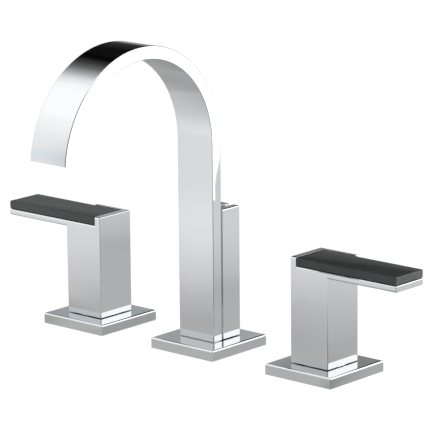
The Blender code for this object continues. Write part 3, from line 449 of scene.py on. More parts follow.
# The solids that stay take the finish of their slot
slotOf = {}
for node, solid in frame["nodes"].items():
    for place in solid.material_slots:
        slotOf[node] = place.material.name.split(".")[0]
        place.material = slotFinish[slotOf[node]]
bodyOf = {node: body for body, nodes in frame["record"]["behaviour"]["bodies"].items() for node in nodes}


def standIn(piece, node):
    # a finished piece takes everything from the solid that it stands for
    piece.data.materials.clear()
    piece.data.materials.append(slotFinish[slotOf[node]])
    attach(piece, bodyOf[node])
    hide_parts(node)


def polishIn(piece, node, sharp=38.0):
    standIn(polishFaces(piece, sharp), node)


def measure(node):
    # a solid's corners, its middle seen from above, and half its width
    low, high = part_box(node)
    return low, high, ((low.x + high.x) / 2, (low.y + high.y) / 2), (high.x - low.x) / 2


# Growing trees

def newTree(name, sizes):
    tree = bpy.data.node_groups.new(name, "GeometryNodeTree")
    tree.interface.new_socket("Geometry", in_out="OUTPUT", socket_type="NodeSocketGeometry")
    kinds = {int: "NodeSocketInt", float: "NodeSocketFloat"}
    for label, value in sizes.items():
        socket = tree.interface.new_socket(label, in_out="INPUT", socket_type=kinds[type(value)])
        socket.default_value = value
    tree.interface.new_socket("Finish", in_out="INPUT", socket_type="NodeSocketMaterial")
    return tree, tree.nodes.new("NodeGroupInput").outputs


def closeTree(tree, shape, finish, height=None):
    # puts the shape at its height, makes it real and gives it its finish
    if height is not None:
        shape = put(tree, "GeometryNodeTransform", {"Geometry": shape, "Translation": arrow(tree, Z=height)})
    whole = put(tree, "GeometryNodeRealizeInstances", {"Geometry": shape})
    painted = put(tree, "GeometryNodeSetMaterial", {"Geometry": whole, "Material": finish})
    tree.links.new(painted, tree.nodes.new("NodeGroupOutput").inputs[0])
    return tree


def grow(name, tree, slot, values):
    piece = linkPiece(name, bpy.data.meshes.new(name))
    step = piece.modifiers.new("grow", "NODES")
    step.node_group = tree
    for item in tree.interface.items_tree:
        if item.in_out == "INPUT" and item.name in values:
            step[item.identifier] = values[item.name]
        if item.in_out == "INPUT" and item.name == "Finish":
            step[item.identifier] = slotFinish[slot]
    return facesOut(settle(piece))


def drawAlong(tree, path, section):
    return put(tree, "GeometryNodeCurveToMesh", {"Curve": path, "Profile Curve": section, "Fill Caps": True})


def setOut(tree, points, edges, **more):
    # equal blocks stand on the points
    cube = put(tree, "GeometryNodeMeshCube", {"Size": edges})
    return put(tree, "GeometryNodeInstanceOnPoints", {"Points": points, "Instance": cube, **more})


def makeArchTree():
    # a flat bar that rises from its foot and bends forward over an arc
    tree, size = newTree("archBar", {
        "Foot": 0.0, "Centre Y": 0.0, "Centre Z": 0.1, "Radius": 0.07, "Sweep": 3.0, "Steps": 96,
        "Width": 0.03, "Thickness": 0.009, "Corner": 0.0006})
    plus, minus, times, shared = sums(tree)
    line = put(tree, "GeometryNodeMeshLine", {"Count": plus(size["Steps"], 2.0)})
    index = put(tree, "GeometryNodeInputIndex")
    step = shared(minus(index, 1.0), size["Steps"])
    angle = times(calculate(tree, "MAXIMUM", step, 0.0), size["Sweep"])
    across = times(calculate(tree, "COSINE", angle), size["Radius"])
    rise = plus(size["Centre Z"], times(calculate(tree, "SINE", angle), size["Radius"]))
    lift = times(minus(rise, size["Foot"]), calculate(tree, "GREATER_THAN", index, 0.5))
    place = arrow(tree, Y=plus(size["Centre Y"], across), Z=plus(size["Foot"], lift))
    bent = put(tree, "GeometryNodeSetPosition", {"Geometry": line, "Position": place})
    path = put(tree, "GeometryNodeMeshToCurve", {"Mesh": bent})
    facing = put(tree, "GeometryNodeSetCurveNormal", {"Curve": path, "Normal": (1.0, 0.0, 0.0)}, mode="FREE")
    section = put(tree, "GeometryNodeCurvePrimitiveQuadrilateral", {
        "Width": size["Width"], "Height": size["Thickness"]})
    eased = put(tree, "GeometryNodeFilletCurve", {"Curve": section, "Count": 4, "Radius": size["Corner"]},
                mode="POLY")
    return closeTree(tree, drawAlong(tree, facing, eased), size["Finish"])


def makeThreadTree():
    # a diamond section wound up an upright axis, its outer corner on the crest of the thread
    tree, size = newTree("screwThread", {"Crest": 0.012, "Depth": 0.0006, "Pitch": 0.0014, "Low": 0.0,
                                         "High": 0.03, "Steps": 36})
    plus, minus, times, shared = sums(tree)
    length = minus(minus(size["High"], size["Low"]), size["Pitch"])
    turns = shared(length, size["Pitch"])
    root = minus(size["Crest"], size["Depth"])
    spiral = put(tree, "GeometryNodeCurveSpiral", {
        "Resolution": size["Steps"], "Rotations": turns, "Start Radius": root, "End Radius": root,
        "Height": length, "Reverse": True})
    facing = put(tree, "GeometryNodeSetCurveNormal", {"Curve": spiral}, mode="Z_UP")
    # the ridge runs out over its first and last turn
    along = put(tree, "GeometryNodeSplineParameter", out="Factor")
    nearest = calculate(tree, "MINIMUM", times(along, turns), times(minus(1.0, along), turns))
    thinnest = 0.05
    fade = calculate(tree, "MAXIMUM", calculate(tree, "MINIMUM", nearest, 1.0), thinnest)
    runOut = put(tree, "GeometryNodeSetCurveRadius", {"Curve": facing, "Radius": fade})
    section = put(tree, "GeometryNodeCurvePrimitiveCircle", {"Resolution": 4, "Radius": size["Depth"]})
    ridge = drawAlong(tree, runOut, section)
    return closeTree(tree, ridge, size["Finish"], plus(size["Low"], times(size["Pitch"], 0.5)))


def makeBarRingTree():
    # equal upright bars round an upright axis
    tree, size = newTree("barRing", {"Count": 12, "Radius": 0.004, "Depth": 0.001, "Width": 0.001,
                                     "Low": 0.0, "High": 0.01})
    plus, minus, times, shared = sums(tree)
    ring = put(tree, "GeometryNodeMeshCircle", {"Vertices": size["Count"], "Radius": size["Radius"]})
    edges = arrow(tree, X=size["Depth"], Y=size["Width"], Z=minus(size["High"], size["Low"]))
    turn = shared(times(put(tree, "GeometryNodeInputIndex"), 2 * math.pi), size["Count"])
    bars = setOut(tree, ring, edges, Rotation=arrow(tree, Z=turn))
    return closeTree(tree, bars, size["Finish"], times(plus(size["Low"], size["High"]), 0.5))


def makeBarRowTree():
    # equal bars in a row along X, about the middle of the row
    tree, size = newTree("barRow", {"Count": 7, "Pitch": 0.002, "Width": 0.001, "Depth": 0.002,
                                    "Height": 0.01})
    minus, times = sums(tree)[1:3]
    start = times(times(minus(size["Count"], 1.0), size["Pitch"]), -0.5)
    row = put(tree, "GeometryNodeMeshLine", {"Count": size["Count"], "Start Location": arrow(tree, X=start),
                                             "Offset": arrow(tree, X=size["Pitch"])})
    edges = arrow(tree, X=size["Width"], Y=size["Depth"], Z=size["Height"])
    return closeTree(tree, setOut(tree, row, edges), size["Finish"])


archTree, threadTree = makeArchTree(), makeThreadTree()
barRingTree, barRowTree = makeBarRingTree(), makeBarRowTree()
print("growing trees built")


def thread(crest, low, high, at=(0.0, 0.0), axis="z", depth=0.0006, pitch=0.0014, steps=36):
    # the ridge of a right-handed thread between two places on its axis
    low, high = sorted((low, high))
    ridge = grow("thread", threadTree, "brass", {"Crest": crest, "Depth": depth, "Pitch": pitch, "Low": low,
                                                 "High": high, "Steps": steps})
    return shift(ridge, *at) if axis == "z" else lay(ridge, axis, at)


def barRing(count, radius, depth, width, low, high, at=(0.0, 0.0)):
    return shift(grow("bars", barRingTree, "brass", {"Count": count, "Radius": radius, "Depth": depth,
                                                     "Width": width, "Low": low, "High": high}), *at)


# Spout: the arched band with its flat waterway and its tenon

spout = {
    "centreY": -0.078,
    "centreZ": 0.1447,
    "thickness": 0.0087,
    "sweep": math.radians(174.0),
    "steps": 112,
    "corner": 0.0007,
    "mouthEdge": 0.0003,
    "water": {"Width": 0.0186, "Thickness": 0.0041, "Corner": 0.0004, "Steps": 90},
    "waterPast": 0.03,          # how far the waterway's sweep runs past the mouth
    "tenon": (0.0290, 0.0067),
    "tenonRoot": 0.002,         # the tenon starts this far up in the band
    "screwOffset": 0.0123,
    "screwRadius": 0.0017,
    "screwTop": 0.0121,
}


def makeSpout():
    low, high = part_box("spout")
    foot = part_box("rear_post")[0].z
    outer = high.z - spout["centreZ"]
    values = {"Foot": foot, "Centre Y": spout["centreY"], "Centre Z": spout["centreZ"],
              "Radius": outer - spout["thickness"] / 2, "Sweep": spout["sweep"], "Steps": spout["steps"],
              "Width": high.x - low.x, "Thickness": spout["thickness"], "Corner": spout["corner"]}
    band = grow("spoutBand", archTree, "chrome", values)
    width, thickness = spout["tenon"]
    tenon = block("tenon", (-width / 2, fit["bandMiddle"] - thickness / 2, low.z),
                  (width / 2, fit["bandMiddle"] + thickness / 2, foot + spout["tenonRoot"]))
    values.update({"Foot": low.z - over, "Sweep": spout["sweep"] + spout["waterPast"], **spout["water"]})
    way = grow("waterway", archTree, "chrome", values)
    holes = [rod("screwHole", spout["screwRadius"], low.z - over, spout["screwTop"],
                 (side * spout["screwOffset"], fit["bandMiddle"])) for side in (-1, 1)]
    weldOn(band, tenon)
    carve(band, way, *holes)

    def nearEnds(middle, direction):
        near = 0.001
        mouth = middle.y < spout["centreY"] - outer + spout["thickness"] + near
        return 1.0 if middle.z < foot + near or mouth else 0.0
    roundOver(band, spout["mouthEdge"], 2, nearEnds, sharp=50.0)
    polishIn(band, "spout")


makeSpout()
print("spout bent")


# Rear post with the knob's opening, and the lift knob

post = {
    "edge": 0.0009,
    "footShare": 0.3,           # share of that at the foot
    "knobSide": 0.0100,         # half width of the opening
    "floor": 0.0779,
    "wall": 0.0024,
    "roof": 0.0699,             # top of the hollow
    "rodWay": 0.0028,
    "bushSeat": 0.0043,
    "bossRadius": 0.0033,
    "bossOffset": 0.0092,
    "bossHole": (0.0017, 0.0201),
    "knobEdge": 0.00045,
    "rodInKnob": 0.0123,
}


def makeRearPost():
    low, high, at, half = measure("rear_post")
    shell = block("rearPost", low, high)
    carve(shell, block("opening", (-post["knobSide"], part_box("lift_knob")[0].y - gap, post["floor"]),
                       (post["knobSide"], high.y + over, high.z + over)))
    near = 0.001
    roundOver(shell, post["edge"], 4,
              lambda middle, direction: post["footShare"] if middle.z < low.z + near else 1.0)
    wall, rodPlace = post["wall"], (0.0, fit["rodY"])
    carve(shell,
          block("hollow", (low.x + wall, low.y + wall, low.z - over),
                (high.x - wall, high.y - wall, post["roof"])),
          through("rodWay", post["rodWay"], low.z, high.z, rodPlace),
          rod("bushSeat", post["bushSeat"], low.z - over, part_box("rod_bush")[1].z + gap, rodPlace))
    for side in (-1, 1):
        place = (side * post["bossOffset"], at[1])
        radius, top = post["bossHole"]
        weldOn(shell, rod("boss", post["bossRadius"], low.z, post["roof"] + gap, place))
        carve(shell, rod("bossHole", radius, low.z - over, top, place))
    polishIn(shell, "rear_post")


def makeLiftKnob():
    low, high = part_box("lift_knob")
    knob = roundOver(block("liftKnob", low, high), post["knobEdge"], 4)
    carve(knob, rod("rodHole", post["rodWay"], low.z - over, low.z + post["rodInKnob"], (0.0, fit["rodY"])))
    polishIn(knob, "lift_knob")


makeRearPost()
makeLiftKnob()
print("rear post and lift knob cut")


# Handles: square column and lever in one piece, with the glass slab let into the top

handle = {
    "softEdge": 0.0017,         # upper front edges
    "edge": 0.35,               # share of that on the other edges
    "footEdge": 0.08,
    "pocketEdge": 0.07,
    "nose": 0.0015,             # rounding under the lever
    "noseSteps": 10,
    "strip": 0.0044,            # metal of the lever under the glass
    "endJoint": 0.0003,         # joint between the glass and the end wall
    "bore": 0.0129,
    "boreLead": 0.0012,         # round bore above the adapter's lower face
    "adapterHalf": 0.0075,
    "screwWay": 0.0023,
    "padMargin": 0.0030,
    "padDepth": 0.0009,
    "glassEdge": 0.0008,
}


def makeHandle(tag, side):
    low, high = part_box(f"{tag}_handle")
    glassLow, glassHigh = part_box(f"{tag}_glass_insert")
    adapterLow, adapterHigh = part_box(f"{tag}_stem_adapter")
    centre, half = side * fit["spacing"], high.y
    tip = high.x if side > 0 else low.x
    glassStart = glassLow.x if side > 0 else glassHigh.x
    joint = glassStart - side * handle["endJoint"]
    floor = glassLow.z - gap
    column = block(f"{tag}Handle", (centre - half, -half, low.z), (centre + half, half, high.z))
    # the lever's section has round lower corners
    nose, steps, bottom = handle["nose"], handle["noseSteps"], floor - handle["strip"]
    section = cornerArc((nose - half, bottom + nose), nose, math.pi, steps)
    section += cornerArc((glassHigh.y - nose, bottom + nose), nose, 1.5 * math.pi, steps)
    section += [(glassHigh.y, high.z), (-half, high.z)]
    weldOn(column, drawn("lever", section, *sorted((centre, tip)), axis="x"))
    left, right = sorted((joint, tip + side * over))
    carve(column, block("pocket", (left, -half - over, floor), (right, glassHigh.y + gap, high.z + over)))

    def edgeShare(middle, direction):
        near = 0.0004
        if middle.z < low.z + near:
            return handle["footEdge"]
        beside = abs(middle.x - joint) < near or abs(middle.y - glassHigh.y - gap) < near
        if middle.z > high.z - near and beside:
            return handle["pocketEdge"]
        if abs(direction.x) > 0.9 and middle.y < near - half and middle.z > floor - near:
            return 1.0
        return handle["edge"]
    roundOver(column, handle["softEdge"], 5, edgeShare, clamp=False)

    margin, reach = handle["padMargin"] - gap, handle["adapterHalf"]
    left, right = sorted((glassStart + side * margin, tip - side * margin))
    boreTop, screwZ = adapterLow.z + handle["boreLead"], (adapterLow.z + adapterHigh.z) / 2
    carve(column,
          block("padBed", (left, margin - half, floor - handle["padDepth"]),
                (right, glassHigh.y - margin, floor + over)),
          rod("bore", handle["bore"], low.z - over, boreTop, (centre, 0.0), steps=fit["roundSteps"]),
          block("socket", (centre - reach, -reach, adapterLow.z),
                (centre + reach, reach, adapterHigh.z + gap)),
          rod("screwWay", handle["screwWay"], 0.0, half + over, (centre, screwZ), "y"))
    polishIn(column, f"{tag}_handle")


for tag, side in sides.items():
    makeHandle(tag, side)
    slab = block(f"{tag}GlassTop", *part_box(f"{tag}_glass_insert"))
    polishIn(roundOver(slab, handle["glassEdge"], 4), f"{tag}_glass_insert")
print("handles milled and glass set")


# Plates: square, with rounded corners and a soft top edge, hollow underneath

plate = {
    "topEdge": 0.0014,
    "corner": 0.0005,
    "bottomEdge": 0.0002,
    "rim": 0.0033,
    "recess": 0.0015,
    "shankHole": 0.0123,
    "rodHole": 0.0031,
    "screwHole": 0.0017,
}


def makePlate(name, node, *cutters):
    low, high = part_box(node)
    blank, rim = block(name, low, high), plate["rim"]

    def edgeShare(middle, direction):
        if abs(direction.z) > 0.5:
            return plate["corner"] / plate["topEdge"]
        return 1.0 if middle.z > high.z / 2 else plate["bottomEdge"] / plate["topEdge"]
    roundOver(blank, plate["topEdge"], 5, edgeShare)
    recess = block("recess", (low.x + rim, low.y + rim, -over), (high.x - rim, high.y - rim, plate["recess"]))
    polishIn(carve(blank, recess, *cutters), node)


def makeHandlePlate(tag, side):
    centre, top, steps = (side * fit["spacing"], 0.0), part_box(f"{tag}_plate")[1].z, fit["roundSteps"]
    nutLow, nutHigh, at, nutHalf = measure(f"{tag}_plate_nut")
    makePlate(f"{tag}Plate", f"{tag}_plate",
              rod("nutPocket", nutHalf + gap, nutLow.z - gap, top + over, centre, steps=steps),
              through("shankHole", plate["shankHole"], 0.0, top, centre, steps=steps))


def footWay(name, rise):
    # room for the spout's foot
    low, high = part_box("spout_foot")
    return block(name, (low.x - gap, low.y - gap, -over), (high.x + gap, high.y + gap, high.z + rise))


def makeSpoutPlate():
    top, middleY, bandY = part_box("spout_plate")[1].z, measure("rear_post")[2][1], fit["bandMiddle"]
    halfX, halfY = spout["tenon"][0] / 2 + gap, spout["tenon"][1] / 2 + gap
    makePlate("spoutPlate", "spout_plate",
              footWay("footPocket", gap),
              block("tenonWay", (-halfX, bandY - halfY, 0.0), (halfX, bandY + halfY, top + over)),
              rod("rodWay", plate["rodHole"], 0.0, top + over, (0.0, fit["rodY"])),
              *[rod("screwWay", plate["screwHole"], 0.0, top + over, (side * post["bossOffset"], middleY))
                for side in (-1, 1)])


for tag, side in sides.items():
    makeHandlePlate(tag, side)
makeSpoutPlate()
print("plates stamped")


# Valves: turned bodies with threads, and what clamps them to the countertop

valve = {
    "neckRadius": 0.0112,
    "neckBottom": 0.0233,
    "neckThread": (0.0004, 0.0010),     # depth and pitch
    "shankRadius": 0.0120,
    "blockRadius": 0.0140,
    "blockTop": -0.0560,
    "blockBottom": -0.0740,
    "inletRadius": 0.0104,
    "bore": 0.0050,
    "tubeRadius": 0.0066,
    "returnRadius": 0.0088,
    "returnFloor": -0.0670,
    "seat": 0.0097,
    "cartridgeBore": 0.0103,
    "outletZ": -0.0625,
    "outletRadius": 0.0070,
    "outletBore": 0.0042,
    "collar": 0.0025,           # plain part of the outlet beside the block
    "flats": 0.0127,            # half width across the wrench flats
    "flatInset": 0.0030,
    "depth": 0.0006,            # of the other threads
    "lead": 0.0006,             # plain end before a thread
    "nutBore": 0.0123,
}
clamping = {
    "nutChamfer": 0.0008,
    "nutSlope": 0.58,           # of the cone that takes the nut's corners off
    "nutFace": 0.97,            # where that cone meets the face, as a share of half the flats
    "grooveWidth": 0.0006,      # ring grooves in a washer's lower face
    "grooveDepth": 0.0004,
    "grooves": (0.0145, 0.0162, 0.0179),
    "gasketCorner": 0.0020,
    "cornerSteps": 6,
    "gasketEdge": 0.0002,
    "notches": (4, 0.0024, 0.0030),     # in the plate nut: count, depth and width
    "notchFloor": 0.0010,
}


def wrenchFlats(wide, flat, bottom, top):
    # cutters for two flats on a round block
    inset = valve["flatInset"]
    return [block("flat", (-wide - over, y, bottom + inset), (wide + over, y + over * 2, top - inset))
            for y in (flat, -flat - over * 2)]


def makeValveBody(tag, side):
    node = f"{tag}_valve_body"
    low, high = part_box(node)
    x, depth, lead = side * fit["spacing"], valve["depth"], valve["lead"]
    neckBottom, seat, floor = valve["neckBottom"], valve["seat"], valve["returnFloor"]
    neckDepth, neckPitch = valve["neckThread"]
    neck, shank = valve["neckRadius"] - neckDepth, valve["shankRadius"] - depth
    inlet, bore, tube = valve["inletRadius"] - depth, valve["bore"], valve["tubeRadius"]
    outer, seatBore = valve["returnRadius"], valve["cartridgeBore"]
    wide, top, bottom = valve["blockRadius"], valve["blockTop"], valve["blockBottom"]
    profile = [(neck, high.z), (neck, neckBottom), (shank, neckBottom), (shank, top), (wide, top),
               (wide, bottom), (inlet, bottom), (inlet, low.z), (bore, low.z), (bore, seat), (tube, seat),
               (tube, floor), (outer, floor), (outer, seat), (seatBore, seat), (seatBore, high.z)]
    body = turned(f"{tag}ValveBody", profile)
    end = (high.x if side < 0 else low.x) - x
    near, shoulder = -side * (outer + gap), -side * (wide + valve["collar"])
    wideEnd, root, z = valve["outletRadius"], valve["outletRadius"] - depth, valve["outletZ"]
    nipple = [(0.0, near), (wideEnd, near), (wideEnd, shoulder), (root, shoulder), (root, end), (0.0, end)]
    weldOn(body, lay(turned("outlet", nipple, closed=False), "x", (0.0, z)))
    ends = sorted((-side * (tube + outer) / 2, end - side * over))
    carve(body, rod("outletWay", valve["outletBore"], *ends, (0.0, z), "x"),
          *wrenchFlats(wide, valve["flats"], bottom, top))
    polishFaces(body)
    gather(body,
           thread(valve["neckRadius"], neckBottom + lead, high.z - lead, depth=neckDepth, pitch=neckPitch),
           thread(valve["shankRadius"], top + lead, neckBottom - lead),
           thread(valve["inletRadius"], low.z + lead, bottom - lead),
           thread(wideEnd, shoulder - side * lead, end + side * lead, (0.0, z), "x"))
    standIn(shift(body, x, 0.0), node)


def makeHexNut(name, node, bore):
    low, high, at, half = measure(node)
    chamfer, slope = clamping["nutChamfer"], clamping["nutSlope"]
    flats, corner, beyond = high.y - low.y, half + gap, over / 2
    face = flats / 2 * clamping["nutFace"]
    drop, flare = (corner - face) * slope, bore + chamfer + over
    start = face - beyond / slope
    nut = drawn(name, hexagon(flats), low.z, high.z)
    combine("INTERSECT", nut, lathe("crown", [
        (0.0, low.z - beyond), (start, low.z - beyond), (corner, low.z + drop), (corner, high.z - drop),
        (start, high.z + beyond), (0.0, high.z + beyond)], closed=False))
    carve(nut, lathe("bore", [
        (0.0, low.z - over), (flare, low.z - over), (bore, low.z + chamfer), (bore, high.z - chamfer),
        (flare, high.z + over), (0.0, high.z + over)], closed=False))
    standIn(shift(polishFaces(nut, sharp=25.0), *at), node)


def makeWasher(name, node, inner, grooves):
    low, high, at, outer = measure(node)
    wide, deep = clamping["grooveWidth"], clamping["grooveDepth"]
    profile = [(inner, low.z)]
    for radius in grooves:
        profile += [(radius - wide, low.z), (radius - wide / 2, low.z + deep),
                    (radius + wide / 2, low.z + deep), (radius + wide, low.z)]
    profile += [(outer, low.z), (outer, high.z), (inner, high.z)]
    return turned(name, profile, at, smallEase, inner > 0.0)


def makeRing(name, node, inner, ease=fineEase):
    low, high, at, outer = measure(node)
    return turned(name, [(outer, high.z), (outer, low.z), (inner, low.z), (inner, high.z)], at, ease)


def makeGasket(name, node, opening):
    low, high, at, half = measure(node)
    corner, steps, outline = clamping["gasketCorner"], clamping["cornerSteps"], []
    for turn, x, y in ((0, 1, 1), (1, -1, 1), (2, -1, -1), (3, 1, -1)):
        outline += cornerArc((x * (half - corner), y * (half - corner)), corner, math.pi / 2 * turn, steps)
    gasket = carve(drawn(name, outline, low.z, high.z, at), opening)
    polishIn(roundOver(gasket, clamping["gasketEdge"], 2, sharp=60.0), node)


def makeClamping(tag, side):
    centre, bore = (side * fit["spacing"], 0.0), valve["nutBore"]
    makeHexNut(f"{tag}DeckNut", f"{tag}_deck_nut", bore)
    washer = makeWasher(f"{tag}DeckWasher", f"{tag}_deck_washer", bore, clamping["grooves"])
    polishIn(washer, f"{tag}_deck_washer")
    polishIn(makeRing(f"{tag}GlideRing", f"{tag}_glide_ring", bore), f"{tag}_glide_ring")
    nut = makeRing(f"{tag}PlateNut", f"{tag}_plate_nut", bore, smallEase)
    low, high, at, half = measure(f"{tag}_plate_nut")
    count, *notch = clamping["notches"]
    carve(nut, barRing(count, half, *notch, low.z + clamping["notchFloor"], high.z + over, centre))
    polishIn(nut, f"{tag}_plate_nut")
    low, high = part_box(f"{tag}_gasket")
    makeGasket(f"{tag}Gasket", f"{tag}_gasket",
               through("opening", bore, low.z, high.z, centre, steps=fit["roundSteps"]))


# What works inside each handle

works = {
    "waist": 0.0092,            # lower part of the cartridge
    "waistGrooves": (0.0032, 0.0014),   # two fine grooves, above the foot
    "rib": 0.0004,
    "shoulder": 0.0070,         # its full-width part
    "neck": 0.0068,
    "neckLength": 0.0080,
    "chamber": 0.0075,
    "chamberRoof": 0.0225,
    "window": (0.0013, 0.0207),
    "stem": 0.0041,
    "stemGroove": 0.0029,
    "grooveHeight": 0.0015,
    "flange": 0.0072,
    "flangeThickness": 0.0030,
    "tang": (0.0100, 0.0020, 0.0012),
    "teeth": 12,
    "toothDepth": 0.0005,
    "toothShare": 1.96,         # a tooth's bar against that depth; its inner half lies in the stem
    "toothWidth": 0.0009,
    "toothEnds": (0.0002, 0.0003),      # below the shoulder, and short of the top
    "screwHole": 0.0022,
    "holeBottom": 0.0438,
    "skirtBore": 0.0115,
    "lip": 0.0024,
    "lipBore": 0.0071,
    "bonnetNotches": (8, 0.0010, 0.0030),   # count, depth and width
    "notchLength": 0.0034,
    "ringSteps": 16,
    "screw": (0.0019, 0.0035, 0.0026),  # radius, head's radius and height
    "screwThread": (0.00025, 0.0006, 16),
    "threadEnds": (0.0002, 0.0003),     # how far it starts under the head, and ends short of the tip
    "setScrewTip": 0.0008,
    "key": (0.0019, 0.0020),            # across its flats, and depth
}


def makeCartridge(tag, side):
    node, centre = f"{tag}_cartridge", (side * fit["spacing"], 0.0)
    low, high, at, full = measure(node)
    top, waist, rib = high.z - works["neckLength"], works["waist"], works["rib"]
    shoulder, hole, roof = top - works["shoulder"], works["stem"] + gap, works["chamberRoof"]
    neck, chamber = works["neck"], works["chamber"]
    profile = [(neck, high.z), (neck, top), (full, top), (full, shoulder), (waist, shoulder)]
    for z in works["waistGrooves"]:
        z += low.z
        profile += [(waist, z + rib), (waist - rib, z + rib), (waist - rib, z - rib), (waist, z - rib)]
    profile += [(waist, low.z), (chamber, low.z), (chamber, roof), (hole, roof), (hole, high.z)]
    housing = turned(f"{tag}Cartridge", profile, centre, smallEase)
    radius, z = works["window"]
    polishIn(carve(housing, through("window", radius, -full, full, (centre[0], z), "y")), node)

    node = f"{tag}_bonnet_nut"
    low, high, at, full = measure(node)
    skirt, lip, lipBottom = works["skirtBore"], works["lipBore"], high.z - works["lip"]
    nut = turned(f"{tag}BonnetNut", [(full, high.z), (full, low.z), (skirt, low.z), (skirt, lipBottom),
                                     (lip, lipBottom), (lip, high.z)], centre, smallEase)
    count, *notch = works["bonnetNotches"]
    carve(nut, barRing(count, full, *notch, high.z - works["notchLength"], high.z + over, centre))
    polishIn(nut, node)


def makeStem(tag, side):
    node, centre = f"{tag}_stem", (side * fit["spacing"], 0.0)
    low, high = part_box(node)
    x, radius, groove = centre[0], works["stem"], works["stemGroove"]
    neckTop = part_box(f"{tag}_cartridge")[1].z
    middle = neckTop - works["neckLength"] / 2
    upper, lower = middle + works["grooveHeight"] / 2, middle - works["grooveHeight"] / 2
    length, width, deep = works["tang"]
    bottom = low.z + deep
    flange, top = works["flange"], bottom + works["flangeThickness"]
    slim = radius - works["toothDepth"]
    stem = turned(f"{tag}Stem", [
        (0.0, high.z), (slim, high.z), (slim, neckTop), (radius, neckTop), (radius, upper), (groove, upper),
        (groove, lower), (radius, lower), (radius, top), (flange, top), (flange, bottom), (0.0, bottom)],
        centre, fineEase, False)
    sunk, short = works["toothEnds"]
    teeth = barRing(works["teeth"], slim, works["toothDepth"] * works["toothShare"], works["toothWidth"],
                    neckTop - sunk, high.z - short, centre)
    tang = block("tang", (x - length / 2, -width / 2, low.z), (x + length / 2, width / 2, bottom + deep))
    weldOn(stem, teeth, tang)
    carve(stem, rod("screwHole", works["screwHole"], works["holeBottom"], high.z + over, centre))
    polishIn(stem, node)

    node = f"{tag}_stem_ring"
    low, high, at, half = measure(node)
    thick, middle = (high.z - low.z) / 2, (high.z + low.z) / 2
    section = [(half - thick + a, middle + b) for a, b in circle(thick, works["ringSteps"])]
    standIn(lathe(f"{tag}StemRing", section, centre), node)


def makeScrew(name, node, radius, headRadius, headHeight, way):
    # way is 1 where the head is up and -1 where it is down
    low, high, at, half = measure(node)
    depth = works["screwThread"][0]
    face, tip = (high.z, low.z) if way > 0 else (low.z, high.z)
    neck, root = face - way * headHeight, radius - depth
    profile = [(0.0, face), (headRadius, face), (headRadius, neck), (root, neck), (root, tip), (0.0, tip)]
    screw = turned(name, profile, at, smallEase, False)
    ends = sorted((face - way * headHeight / 2, face + way * over))
    polishFaces(carve(screw, drawn("key", hexagon(headRadius), *ends, at)))
    sunk, short = works["threadEnds"]
    gather(screw, thread(radius, neck - way * sunk, tip + way * short, at, "z", *works["screwThread"]))
    standIn(screw, node)


def makeSetScrew(tag, side):
    node = f"{tag}_set_screw"
    low, high, at, radius = measure(node)
    depth, start = works["screwThread"][0], low.y + works["setScrewTip"]
    screw = turned(f"{tag}SetScrew", [(0.0, low.y), (radius - 2 * depth, low.y), (radius - depth, start),
                                      (radius - depth, high.y), (0.0, high.y)], (0.0, 0.0), fineEase, False)
    flats, deep = works["key"]
    polishFaces(carve(screw, drawn("key", hexagon(flats), high.y - deep, high.y + over)))
    end = high.y - works["threadEnds"][1]
    gather(screw, thread(radius, start, end, (0.0, 0.0), "z", *works["screwThread"]))
    standIn(lay(screw, "y", (side * fit["spacing"], (low.z + high.z) / 2)), node)


for tag, side in sides.items():
    makeValveBody(tag, side)
    makeClamping(tag, side)
    makeCartridge(tag, side)
    makeStem(tag, side)
    makeScrew(f"{tag}AdapterScrew", f"{tag}_adapter_screw", *works["screw"], 1)
    makeSetScrew(tag, side)
print("valves turned and threaded")


# Below the spout: shank, tee, nut and washer, the drain's lift rod, and the stream former in the mouth

under = {
    "shankBore": 0.0055,
    "shankHole": 0.0083,
    "shankThread": (0.0005, 0.0012),
    "washerGrooves": (0.0170, 0.0188, 0.0204),
    "gripFloor": -0.0753,       # in the tee, where the shank's seal lies
    "armZ": -0.0823,
    "armCollar": 0.0025,
    "flats": 0.0093,
    "teeEdge": 0.0010,
    "rodHole": 0.0031,
    "rodRadius": 0.0025,
    "rodEnd": 0.0060,           # thicker lower end
    "ribs": (20, 0.0006, 0.0005),       # grooves round that: count, depth, width
    "ribMargin": 0.0013,
    "rodEdge": 0.0006,
    "bushBore": 0.0028,
    "bushRadius": 0.0040,
    "bushFlange": 0.0008,
    "formerLength": 0.0080,
    "formerRecess": 0.0006,
    "formerEdge": 0.0003,
    "slots": 7,
    "web": 0.0009,
    "screw": (0.0014, 0.0025, 0.0015),  # radius, head's radius and height
}


